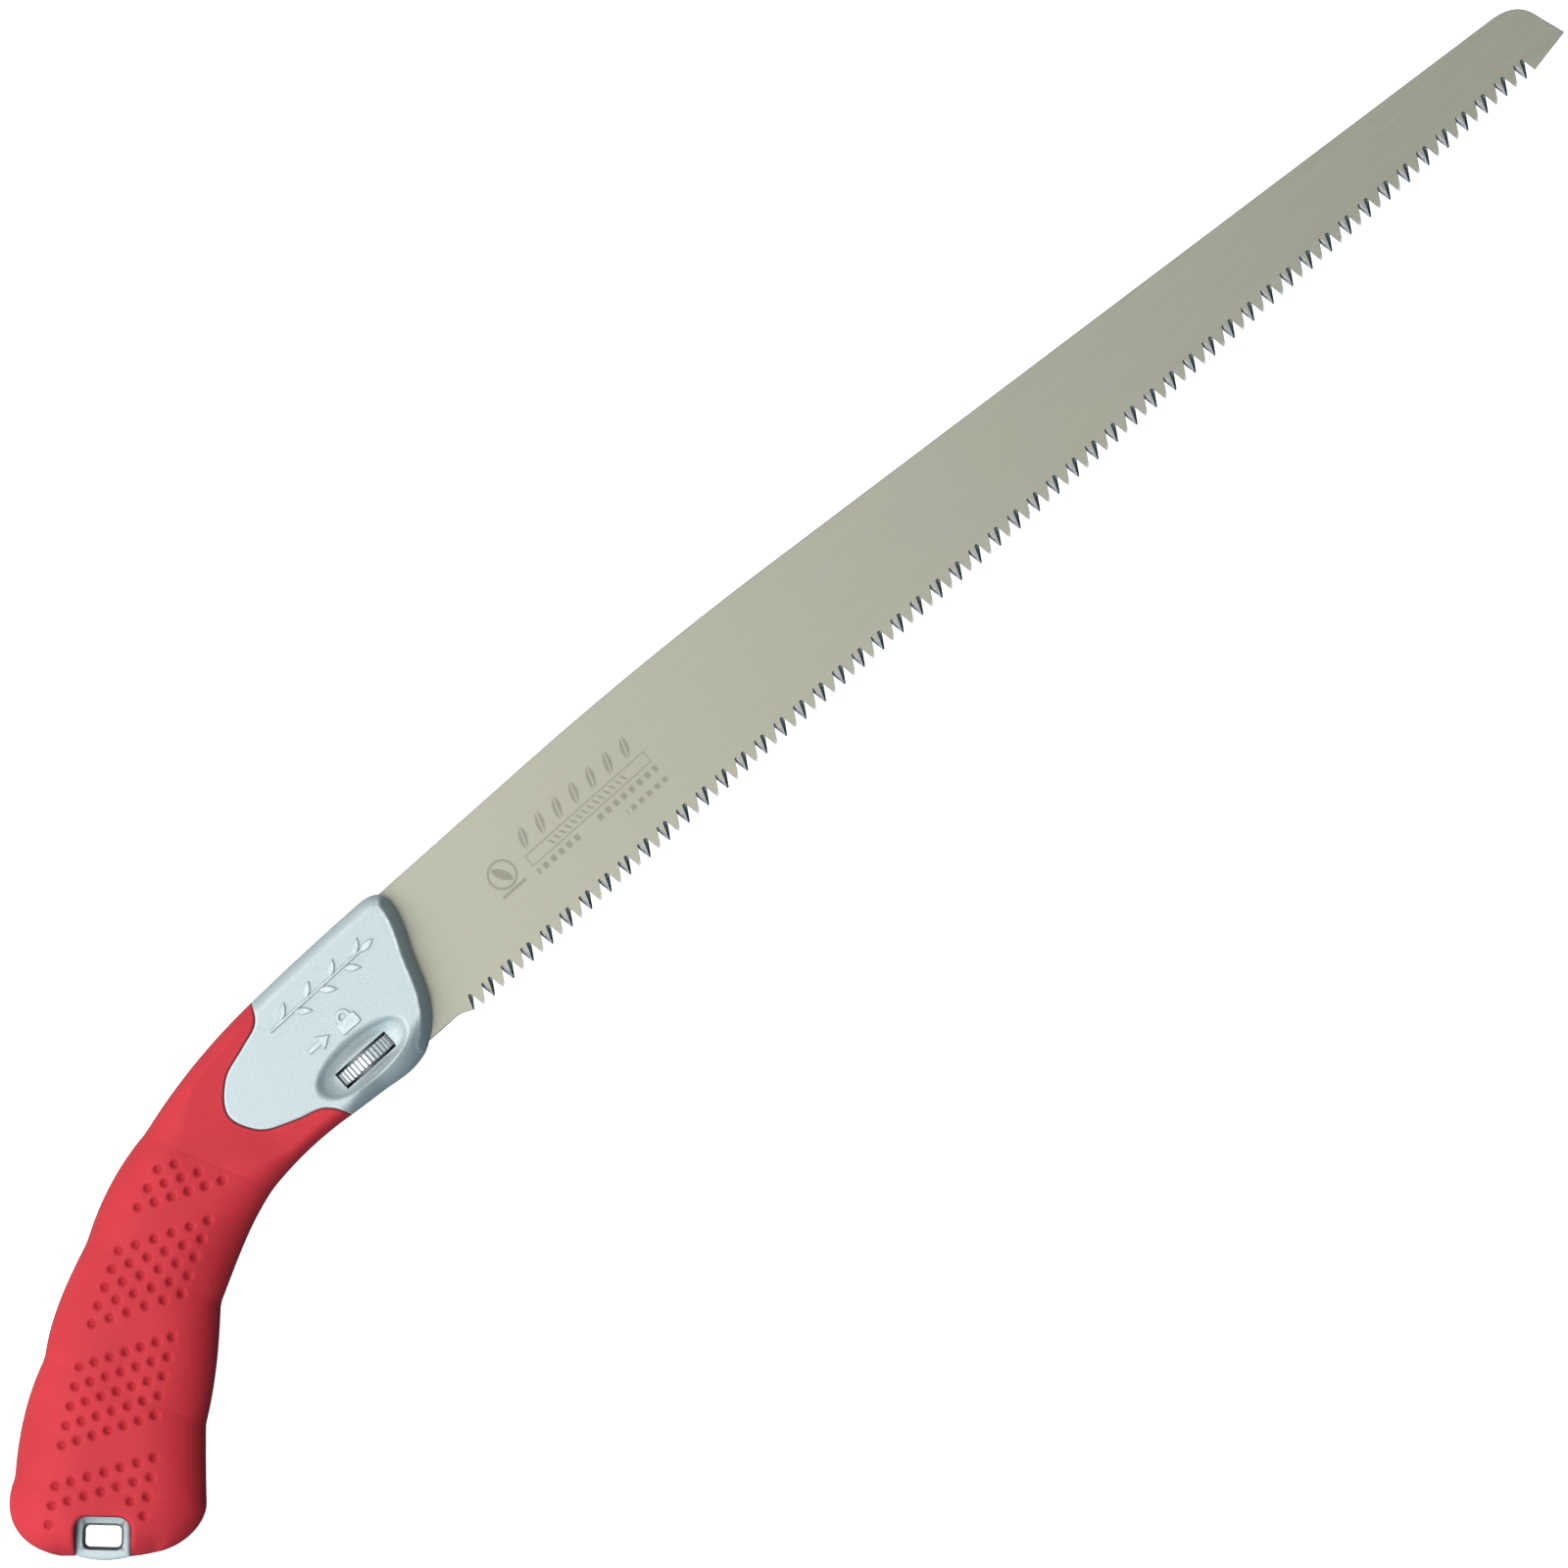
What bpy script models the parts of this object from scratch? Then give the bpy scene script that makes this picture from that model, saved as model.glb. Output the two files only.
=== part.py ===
"""Pruning saw with a fixed pistol grip and a replaceable blade held by a lock wheel.

Sizes are in millimetres in the saw's own frame: X runs along the tooth line from the
first tooth to the blade's tip, Y from the teeth to the blade's back, and Z through the
thickness, with 0 in the blade's middle plane. MM turns them into Blender's metres.
The saw lies on its far cheek, and the world origin is the middle of its box's underside.
"""

import math

import bmesh
import bpy
import numpy as np
from mathutils import Matrix, Vector

MM = 0.001
CLEARANCE = 0.3
THROUGH = 20  # reach of a cutter that passes right through the handle
PLAN = ((-200, -80), (30, 60))  # a rectangle round the whole handle
ORIGIN = (89.07, -4.57, -12.97)  # the point of the saw's frame that is the world's origin

# Blade
TOOTH_PITCH = 3.0
TOOTH_COUNT = 110
FIRST_GULLET_X = 1.65
GULLET_Y = 3.55
TOOTH_TIP = (0.55, 0.2)  # from the gullet behind the tooth, and height over the tooth line
TOOTH_TOP_BEVEL_END = (1.4, 0.8)
LAST_TOOTH_TIP_Y = 0.5
BLADE_HALF = 0.6
BLADE_BACK_Y = 35.5
BLADE_HEEL_Y = 2.4
TIP_X = 337.0

# Tang, inside the head
TANG_LOW, TANG_HIGH, TANG_END = 14.5, 27.5, -50.5
SHOULDER_X, ROOT_END_X = -6.6, -13.5
FORK_Y, FORK_X, FORK_HALF = 21.0, -45.5, 2.8
NOTCH_DEPTH, NOTCH_HALF = 1.4, 2.9
POCKET_HALF = 0.9
POCKET_GAP = 0.4

# Casting
HEAD_HALF, HEAD_EDGE = 9.8, 4.5
EDGE_LAND = 0.5
FRONT_HALF, FRONT_BEVEL = 3.0, 2.7
PARTING_HALF = 0.15
HEAD_CENTRE = (-25.0, 19.0)
DISH_CENTRE, DISH_TOP, DISH_FLOOR = (-26.7, 9.8), (13.4, 6.0), (10.6, 4.0)
DISH_FLOOR_Z = 7.0
HEAD_TOP = [(-37.5, 36.3), (-20, 36.85), (-4, 36.95)]
HEAD_NOSE = [(-4, 36.95), (1.5, 36.9), (1.95, 33)]
HEAD_FRONT = [(1.95, 33), (1.6, 30), (-2.5, 19), (-5.5, 11), (-9.5, 5), (-13.3, 2)]
HEAD_CHIN = [(-13.3, 2), (-15.8, 0.8), (-19, 0.15), (-28, 0.75), (-37.2, 1.5)]
BORDER = [(-37.5, 36.3), (-39.9, 32.1), (-45.5, 29.9), (-53.5, 26.9), (-58.6, 20),
          (-55.5, 13.2), (-47.5, 9.2), (-40.6, 6.7), (-37.2, 1.5)]

# Grip: its back and belly edges, from the head (0) over four cusps to the butt (5)
BACK_CUSPS = [(-37.5, 36.3), (-76, 30), (-102.5, 20.3), (-127.5, 6.8), (-151, -9.3)]
BACK_BULGES = [(1.2, 0), (1.5, -0.05), (1.25, 0.3), (1.4, -0.1)]
BACK_CORNER = [(-151, -9.3), (-158, -12.5), (-162.5, -20.5), (-155, -30)]
BELLY_CUSPS = [(-37.2, 1.5), (-62, 0.8), (-88.8, -11), (-109.8, -29.5), (-122, -43.5)]
BELLY_BULGES = [(-0.9, 0), (-0.83, -0.5), (0.75, 0.2), (-0.1, 0)]
BELLY_CORNER = [(-122, -43.5), (-125.5, -46.9), (-133, -47.1), (-138, -43.8)]
GRIP_HALF = [(0.6, 9.8), (1.3, 11.7), (2.2, 12.9), (3.2, 13.0), (4.2, 12.2), (5, 11.5)]
GRIP_EDGE, EDGE_FROM, EDGE_TO = 17.5, 0.6, 1.5  # the edge rounding grows from the head's to this
GRIP_POWER, BUTT_ROUND = 2.3, 9.0
SLEEVE_WALL = 3.2
CORE_HALF = [(0, 6.6), (0.6, 6.6), (1.4, 8.2), (2.2, 9.4), (3.3, 9.2), (4.3, 6.0)]
CORE_END, CORE_EDGE = 4.3, 3.0
HOLLOWS, HOLLOW_WALL = [(0.85, 1.75), (2.25, 3.35)], 2.6

# Lanyard lug at the butt: its own axes run along the butt edge and inwards
LUG_CENTRE = (-144.6, -33.0)
LUG_TURN = math.radians(-43)
LUG_HALF = (6.4, 4.7)  # half width, and how far it reaches in from the hole's middle
LUG_ROOT, LUG_OUT, LUG_THICK = 12.0, -5.0, 4.6
LUG_HOLE = (9.2, 5.9, 1.6)  # length, width and corner radius

# Lock: everything turns about a line along Y through LOCK_X
LOCK_X = -26.5
WHEEL_RADIUS, KNURL_DEPTH, KNURLS = 9.6, 0.35, 52
WHEEL_LOW, WHEEL_HIGH = 7.15, 10.45
CAVITY_RADIUS, CAVITY_LOW, CAVITY_HIGH = 10.1, 6.75, 10.85
STUD_RADIUS, THREAD_DEPTH, THREAD_PITCH = 2.5, 0.3, 1.0
STUD_LOW, STUD_HIGH, STUD_FLAT, STUD_SLOT = 2.0, 15.1, 1.9, (0.8, 1.0)
STUD_TRAVEL, STUD_FLAT_END, STUD_CHAMFER = 1.5, 5.2, 0.3
KEY_PLATE = (4.5, 3.4, 4.9)  # half side, lowest and highest Y
WASHER_RADIUS = 5.5
WASHER_SEATS = (5.75, 11.75)  # ends of the recesses that hold the two washers
WASHER_Y, WAVE_Y = (6.05, 6.85), (10.75, 11.45)

# Fasteners: place in the saw's plane, and half length or head height
TANG_PIN = (-45.5, 21.0, 2.5, 7.0)
STOP_PIN = (-8.9, 31.2, 2.0, 5.5)
BUTT_DOWEL = (-139.5, -26.5, 1.75, 3.2)
SCREW_HEAD, SCREW_SHANK, SCREW_CONE = 3.1, 1.75, 1.7
HEX_ACROSS, HEX_DEPTH = 2.5, 1.6
SCREWS = [(-16, 31.5, 9.2), (-36.5, 31.0, 9.2), (-54.2, 20.3, 9.2), (-95.6, 4.6, 8.4),
          (-131, -22, 7.0)]
SCREW_BITE = 6.0


# ---- outlines ---------------------------------------------------------------------

def curve(points, steps):
    """A smooth line through the points, with this many steps between each two."""
    points = np.array(points, float)
    at = np.concatenate([[0], np.cumsum(np.linalg.norm(np.diff(points, axis=0), axis=1))])
    slope = np.gradient(points, at, axis=0, edge_order=2)
    line = [points[0]]
    for a, b, m, n, length in zip(points, points[1:], slope, slope[1:], np.diff(at)):
        for t in np.linspace(0, 1, steps + 1)[1:]:
            line.append((1 + 2 * t) * (1 - t) ** 2 * a + t * (1 - t) ** 2 * length * m
                        + t * t * (3 - 2 * t) * b - t * t * (1 - t) * length * n)
    return np.array(line)


def corner(start, point, end, steps=4):
    """A rounded corner: the arc-like curve from start to end that the point pulls out."""
    t = np.linspace(0, 1, steps + 1)[:, None]
    start, point, end = (np.array(p, float) for p in (start, point, end))
    return list((1 - t) ** 2 * start + 2 * t * (1 - t) * point + t * t * end)


def arc(centre, radius, start, end, steps):
    turns = np.radians(np.linspace(start, end, steps + 1))
    return [(centre[0] + radius * math.cos(a), centre[1] + radius * math.sin(a)) for a in turns]


def bulged(start, end, bulge, skew, t):
    """A point on the shallow swell from start to end; a positive bulge is to the left."""
    start, end = np.array(start, float), np.array(end, float)
    along = (end - start) / np.linalg.norm(end - start)
    left = np.array([-along[1], along[0]])
    return start + (end - start) * t + left * 4 * bulge * t * (1 - t) * (1 + skew * (2 * t - 1))


def bezier(points, t):
    a, b, c, d = (np.array(p, float) for p in points)
    return (1 - t) ** 3 * a + 3 * t * (1 - t) ** 2 * b + 3 * t * t * (1 - t) * c + t ** 3 * d


def grip_edge(cusps, bulges, last, side, s):
    """The point at s, 0 to 5, along one long edge of the grip."""
    i = min(int(s), 4)
    if i == 4:
        return bezier(last, s - 4)
    return bulged(cusps[i], cusps[i + 1], side * bulges[i][0], bulges[i][1], s - i)


def back_edge(s):
    return grip_edge(BACK_CUSPS, BACK_BULGES, BACK_CORNER, -1, s)


def belly_edge(s):
    return grip_edge(BELLY_CUSPS, BELLY_BULGES, BELLY_CORNER, 1, s)


def spread(pairs, s):
    """The value at s, read smoothly from (s, value) pairs."""
    places, values = zip(*pairs)
    fine = np.linspace(places[0], places[-1], 60)
    eased = np.convolve(np.pad(np.interp(fine, places, values), 4, "edge"), np.ones(9) / 9, "valid")
    return float(np.interp(s, fine, eased))


def offset(line, distance):
    """The line moved to its left by the distance."""
    along = np.gradient(line, axis=0)
    along /= np.linalg.norm(along, axis=1)[:, None]
    return line + distance * np.stack([-along[:, 1], along[:, 0]], axis=1)


def distance_to(line, points):
    start, step = line[:-1], np.diff(line, axis=0)
    ahead = ((points[:, None] - start) * step).sum(2) / (step * step).sum(1)
    nearest = start + np.clip(ahead, 0, 1)[..., None] * step
    return np.linalg.norm(points[:, None] - nearest, axis=2).min(1)


def dome(u, power=2.5):
    """0 at an edge, with a steep start, rising to 1 where u reaches 1."""
    return (1 - (1 - np.clip(u, 0, 1)) ** power) ** (1 / power)


def lug_point(along, inward):
    turn = Matrix.Rotation(LUG_TURN, 2)
    return turn @ Vector((along, inward)) + Vector(LUG_CENTRE)


def rounded_box(x0, x1, y0, y1, radius, steps=4):
    corners = [((x1 - radius, y1 - radius), 0), ((x0 + radius, y1 - radius), 90),
               ((x0 + radius, y0 + radius), 180), ((x1 - radius, y0 + radius), 270)]
    return [p for centre, turn in corners for p in arc(centre, radius, turn, turn + 90, steps)]


def blade_outline():
    """The blade with its tang: round the teeth, over the tip and back into the head."""
    line = [(ROOT_END_X, 3.4), (-12.5, BLADE_HEEL_Y), (-4, BLADE_HEEL_Y), (-2.2, 2), (-1, 1.2), (-0.2, 0.9)]
    for tooth in range(TOOTH_COUNT - 2):
        gullet = FIRST_GULLET_X + tooth * TOOTH_PITCH
        line += [(gullet, GULLET_Y), (gullet + TOOTH_TIP[0], TOOTH_TIP[1]),
                 (gullet + TOOTH_TOP_BEVEL_END[0], TOOTH_TOP_BEVEL_END[1])]
    last = FIRST_GULLET_X + (TOOTH_COUNT - 2) * TOOTH_PITCH
    line += [(last, GULLET_Y), (last + TOOTH_TIP[0], LAST_TOOTH_TIP_Y), (TIP_X, 2.5)]
    line += corner((334.6, 10.2), (333.2, 15), (327, 15.8))
    line += corner((119, 32.5), (82, BLADE_BACK_Y), (45, BLADE_BACK_Y), 6)
    line += corner((-5.6, BLADE_BACK_Y), (SHOULDER_X, BLADE_BACK_Y), (SHOULDER_X, 34.5), 2)
    line += corner((SHOULDER_X, TANG_HIGH + 1), (SHOULDER_X, TANG_HIGH), (SHOULDER_X - 1, TANG_HIGH), 2)
    line += [(TANG_END + 1, TANG_HIGH), (TANG_END, TANG_HIGH - 1), (TANG_END, FORK_Y + FORK_HALF)]
    line += arc((FORK_X, FORK_Y), FORK_HALF, 90, -90, 8)
    line += [(TANG_END, FORK_Y - FORK_HALF), (TANG_END, TANG_LOW + 1), (TANG_END + 1, TANG_LOW)]
    line += [(LOCK_X - NOTCH_HALF, TANG_LOW), (LOCK_X - NOTCH_HALF, TANG_LOW + NOTCH_DEPTH),
             (LOCK_X + NOTCH_HALF, TANG_LOW + NOTCH_DEPTH), (LOCK_X + NOTCH_HALF, TANG_LOW)]
    line += corner((ROOT_END_X - 1, TANG_LOW), (ROOT_END_X, TANG_LOW), (ROOT_END_X, TANG_LOW - 1), 2)
    return line


def pocket_outline():
    low, high = TANG_LOW - POCKET_GAP, TANG_HIGH + POCKET_GAP
    root, top, front = ROOT_END_X - POCKET_GAP, BLADE_BACK_Y + POCKET_GAP, 12
    return [(front, top), (SHOULDER_X - POCKET_GAP, top), (SHOULDER_X - POCKET_GAP, high),
            (TANG_END - POCKET_GAP, high), (TANG_END - POCKET_GAP, low), (root, low),
            (root, BLADE_HEEL_Y - POCKET_GAP), (front, BLADE_HEEL_Y - POCKET_GAP)]


# ---- solids: each function returns points and faces --------------------------------

def loft(loops):
    """A closed solid through loops of equal length, the first and last filled."""
    count = len(loops[0])
    points = [p for loop in loops for p in loop]
    faces = [list(range(count))[::-1], [len(points) - count + i for i in range(count)]]
    for row in range(len(loops) - 1):
        for i in range(count):
            a, b = row * count + i, row * count + (i + 1) % count
            faces.append([a, b, b + count, a + count])
    return points, faces


def prism(outline, low, high):
    return loft([[(x, y, z) for x, y in outline] for z in (low, high)])


def box(low, high):
    outline = [(low[0], low[1]), (high[0], low[1]), (high[0], high[1]), (low[0], high[1])]
    return prism(outline, low[2], high[2])


def turned(profile, segments, clip=None):
    """A solid turned about Y from (radius, y) pairs; clip cuts flats at z of plus and minus it."""
    loops = []
    for radius, y in profile:
        loop = [(radius * math.cos(a), y, -radius * math.sin(a))
                for a in np.linspace(0, 2 * math.pi, segments, endpoint=False)]
        if clip and y <= clip[1] + 1e-6:
            loop = [(x, y, max(-clip[0], min(clip[0], z))) for x, y, z in loop]
        loops.append(loop)
    return loft(loops)


def ring(inner, outer, low, high, segments, wave=0.0):
    """A washer about Y, with three waves round it where wave isn't 0."""
    loops = []
    for a in np.linspace(0, 2 * math.pi, segments, endpoint=False):
        lift = wave * math.sin(3 * a)
        loops.append([(r * math.cos(a), y + lift, -r * math.sin(a))
                      for r, y in ((inner, low), (outer, low), (outer, high), (inner, high))])
    points, faces = loft(loops + [loops[0]])
    keep = len(points) - 4
    return points[:keep], [[i % keep for i in face] for face in faces[2:]]


def round_bar(x, y, radius, low, high, segments=24):
    return prism(arc((x, y), radius, 0, 360, segments)[:-1], low, high)


def grip_loops(rows, columns, half, power, edge, inset=0.0, butt=True, grow=0.0):
    """Cross-sections of the grip at the rows: half gives the half thickness at each."""
    loops = []
    butt_line = np.array([BACK_CORNER[-1], BELLY_CORNER[-1]], float)
    steps = np.linspace(0, math.pi / 2, columns)
    rise = 1 - np.cos(steps) ** (2 / power)
    for s in rows:
        back, belly = back_edge(s), belly_edge(s)
        width = np.linalg.norm(back - belly) / 2
        shrink = 1 - (inset - grow) / width
        reach = min(edge(s) / width, 0.92)
        c = 1 - reach * rise
        c = np.concatenate([-c, c[::-1]]) * shrink
        z = np.maximum((half(s) + grow) * dome((1 - np.abs(c) / shrink) / reach, power), EDGE_LAND)
        plan = (back + belly) / 2 + c[:, None] * (back - belly) / 2
        if butt:
            z = np.maximum(z * dome(distance_to(butt_line, plan) / BUTT_ROUND), EDGE_LAND)
        top = [(x, y, h) for (x, y), h in zip(plan, z)]
        loops.append(top[::-1] + [(x, y, -h) for x, y, h in top])
    return loops


def sleeve_outer():
    def edge(s):
        grown = min(max((s - EDGE_FROM) / (EDGE_TO - EDGE_FROM), 0), 1)
        return HEAD_EDGE + (GRIP_EDGE - HEAD_EDGE) * grown

    rows = [0, 0.2, 0.4, 0.6, 0.8, 1, 1.25, 1.5, 1.75, 2, 2.25, 2.5, 2.75, 3, 3.25, 3.5, 3.75, 4,
            4.2, 4.4, 4.6, 4.75, 4.88, 4.95, 5]
    return loft(grip_loops(rows, 6, lambda s: spread(GRIP_HALF, max(s, 0.6)), GRIP_POWER, edge))


def core(rows, grow=0.0, wall=0.0):
    """The casting's arm inside the sleeve, grown or thinned all round."""
    return loft(grip_loops(rows, 4, lambda s: spread(CORE_HALF, s) - wall, 2.5, lambda s: CORE_EDGE,
                           SLEEVE_WALL + wall, butt=False, grow=grow))


def lug(low, high, half_width, inner, outer, radius):
    outline = [lug_point(x, y) for x, y in rounded_box(-half_width, half_width, outer, inner, radius)]
    return prism(outline, low, high)


def head_top():
    return np.concatenate([curve(HEAD_TOP, 4), np.array(corner(*HEAD_NOSE, 6))[1:]])


def head_border():
    """The closed outline of the visible head, counter-clockwise from the top of its rear border."""
    parts = [curve(BORDER, 4), curve(HEAD_CHIN[::-1], 3), curve(HEAD_FRONT[::-1], 4), head_top()[::-1]]
    return np.concatenate([part[:-1] for part in parts])


def head_half_height(points):
    """Half the head's thickness over each point, rounded at its sides and bevelled in front."""
    sides = [head_top(), curve(HEAD_CHIN, 8),
             np.array([belly_edge(s) for s in np.linspace(0, 1, 9)]),
             np.array([back_edge(s) for s in np.linspace(0, 1, 9)])]
    to_side = np.min([distance_to(side, points) for side in sides], axis=0)
    to_front = distance_to(curve(HEAD_FRONT, 8), points)
    bevel = FRONT_HALF + (HEAD_HALF - FRONT_HALF) * to_front / FRONT_BEVEL
    return np.maximum(np.minimum(HEAD_HALF * dome(to_side / HEAD_EDGE), bevel), EDGE_LAND)


def head_block():
    """The head as rings that shrink from its border towards its middle, over and under."""
    border, centre = head_border(), np.array(HEAD_CENTRE)
    normal = np.roll(border, -1, axis=0) - np.roll(border, 1, axis=0)
    normal = np.stack([normal[:, 1], -normal[:, 0]], axis=1)
    inward = centre - border
    length = np.linalg.norm(inward, axis=1)
    slant = -(normal * inward).sum(1) / np.linalg.norm(normal, axis=1) / length
    rings = [border + inward * (depth / np.maximum(slant, 0.35) / length)[:, None]
             for depth in (0, 0.12, 0.55, 1.3, FRONT_BEVEL, HEAD_EDGE)]
    rings.append((border + centre) / 2)
    loops = [[(x, y, h) for (x, y), h in zip(line, head_half_height(line))] for line in rings]
    under = [[(x, y, -z) for x, y, z in loop] for loop in loops]
    points, faces = loft(under[::-1] + loops)
    return points, faces


# ---- Blender objects ----------------------------------------------------------------

def material(name, colour, roughness, metallic):
    made = bpy.data.materials.new(name)
    made.use_nodes = True
    shader = made.node_tree.nodes["Principled BSDF"]
    shader.inputs["Base Color"].default_value = (*colour, 1)
    shader.inputs["Roughness"].default_value = roughness
    shader.inputs["Metallic"].default_value = metallic
    made.diffuse_color = (*colour, 1)
    return made


def piece(name, solid, finish, rig, at=(0, 0, 0), smooth=None):
    """An object named name, its mesh placed so that its own origin is at the given point."""
    points, faces = solid
    mesh = bpy.data.meshes.new(name)
    mesh.from_pydata([Vector(p) * MM for p in points], [], faces)
    shape = bmesh.new()
    shape.from_mesh(mesh)
    bmesh.ops.recalc_face_normals(shape, faces=shape.faces)
    shape.to_mesh(mesh)
    shape.free()
    if smooth:
        mesh.shade_smooth()
        mesh.set_sharp_from_angle(angle=math.radians(smooth))
    obj = bpy.data.objects.new(name, mesh)
    bpy.context.scene.collection.objects.link(obj)
    obj.parent = rig
    obj.location = Vector(at) * MM
    if finish:
        mesh.materials.append(finish)
    return obj


def cutter(name, solid, rig, at=(0, 0, 0)):
    obj = piece(name, solid, None, rig, at)
    obj.hide_render = True
    obj.display_type = "WIRE"
    return obj


def boolean(obj, other, operation="DIFFERENCE"):
    step = obj.modifiers.new(other.name, "BOOLEAN")
    step.operation = operation
    step.solver = "EXACT"
    step.object = other


def make_blade(rig, steel):
    piece("blade", prism(blade_outline(), -BLADE_HALF, BLADE_HALF), steel, rig)


def make_sleeve(rig, rubber):
    sleeve = piece("grip_sleeve", sleeve_outer(), rubber, rig, smooth=40)
    border = offset(curve(BORDER, 4), -CLEARANCE)
    above, below = (-36.9, 38.6), (-36.6, -0.6)  # carry the border past the sleeve's two edges
    ahead = [(above[0], 45), (-20, 45), (-20, -10), (below[0], -10)]
    mouth = ahead + [above, *border[1:-1], below][::-1]
    boolean(sleeve, cutter("sleeve_mouth", prism(mouth, -THROUGH, THROUGH), rig))
    rows = [0.02, 0.3, 0.6, 1, 1.4, 1.8, 2.2, 2.8, 3.4, 3.8, CORE_END + 0.03]
    boolean(sleeve, cutter("sleeve_bore", core(rows, grow=CLEARANCE), rig))
    width, inner = LUG_HALF[0] + 0.4, LUG_HALF[1] + CLEARANCE
    boolean(sleeve, cutter("sleeve_window", lug(-THROUGH, THROUGH, width, inner, -12, 2.5), rig))
    height = LUG_THICK + CLEARANCE
    slot = lug(-height, height, LUG_HALF[0] + CLEARANCE, LUG_ROOT + CLEARANCE, 0, 1.5)
    boolean(sleeve, cutter("sleeve_lug_slot", slot, rig))


def lock_bore():
    """Every round space on the lock's axis, as one turned solid."""
    stud, washer = STUD_RADIUS + CLEARANCE, WASHER_RADIUS + CLEARANCE
    seat_low, seat_high = WASHER_SEATS
    top = STUD_HIGH + STUD_TRAVEL + 0.5
    return turned([(stud, STUD_LOW - 0.4), (stud, seat_low), (washer, seat_low), (washer, CAVITY_LOW),
                   (CAVITY_RADIUS, CAVITY_LOW), (CAVITY_RADIUS, CAVITY_HIGH), (washer, CAVITY_HIGH),
                   (washer, seat_high), (stud, seat_high), (stud, top)], 48)


def dish(side):
    """The finger dish over the wheel window: an oval that narrows to a flat floor."""
    x, y = DISH_CENTRE
    turns = np.linspace(0, 2 * math.pi, 32, endpoint=False)
    levels = ((DISH_FLOOR_Z, DISH_FLOOR), (HEAD_HALF, DISH_TOP), (THROUGH, DISH_TOP))
    return loft([[(x + long_half * math.cos(a), y + short_half * math.sin(a), side * height) for a in turns]
                 for height, (long_half, short_half) in levels])


def screw_hole(place):
    """Clearance for one screw: shank, cone and a straight way in from the far side."""
    x, y, head = place
    radii = [(SCREW_SHANK, SCREW_BITE), (SCREW_SHANK, SCREW_CONE - head), (SCREW_HEAD, -head),
             (SCREW_HEAD, -THROUGH)]
    return loft([[(px, py, z) for px, py in arc((x, y), radius + CLEARANCE, 0, 360, 20)[:-1]]
                 for radius, z in radii])


def make_frames(rig, casting):
    """The two castings: head, arm and lug, split at the parting plane, then cut."""
    arm = cutter("arm", core([0, 0.3, 0.6, 1, 1.4, 1.8, 2.2, 2.8, 3.4, 3.8, CORE_END]), rig)
    lug_plate = lug(-LUG_THICK, LUG_THICK, LUG_HALF[0], LUG_ROOT, LUG_OUT, 1.2)
    hole = [lug_point(x, y) for x, y in rounded_box(-LUG_HOLE[0] / 2, LUG_HOLE[0] / 2,
                                                    -LUG_HOLE[1] / 2, LUG_HOLE[1] / 2, LUG_HOLE[2])]
    lug_body = cutter("lug", lug_plate, rig)
    cuts = [cutter("blade_pocket", prism(pocket_outline(), -POCKET_HALF, POCKET_HALF), rig),
            cutter("lock_space", lock_bore(), rig, (LOCK_X, 0, 0)),
            cutter("lug_hole", prism(hole, -THROUGH, THROUGH), rig)]
    half, low, high = KEY_PLATE
    cuts.append(cutter("key_slot", box((LOCK_X - half - CLEARANCE, low - CLEARANCE, -half - CLEARANCE),
                                       (LOCK_X + half + CLEARANCE, high + CLEARANCE, half + CLEARANCE)), rig))
    pins = (("tang_pin", TANG_PIN), ("stop_pin", STOP_PIN), ("dowel", BUTT_DOWEL))
    for name, (x, y, radius, reach) in pins:
        reach += CLEARANCE
        cuts.append(cutter(name + "_hole", round_bar(x, y, radius + CLEARANCE, -reach, reach), rig))
    for i, (start, end) in enumerate(HOLLOWS):
        rows = np.linspace(start, end, 5)
        cuts.append(cutter(f"arm_hollow_{i + 1}", core(rows, wall=HOLLOW_WALL), rig))
    for i, place in enumerate(SCREWS):
        cuts.append(cutter(f"screw_hole_{i + 1}", screw_hole(place), rig))
    for name, side in (("frame_near", 1), ("frame_far", -1)):
        frame = piece(name, head_block(), casting, rig, smooth=35)
        boolean(frame, arm, "UNION")
        boolean(frame, lug_body, "UNION")
        away = sorted((side * PARTING_HALF, -side * THROUGH))
        boolean(frame, cutter(name + "_parting", box((*PLAN[0], away[0]), (*PLAN[1], away[1])), rig))
        boolean(frame, cutter(name + "_dish", dish(side), rig))
        for cut in cuts:
            boolean(frame, cut)


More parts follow.
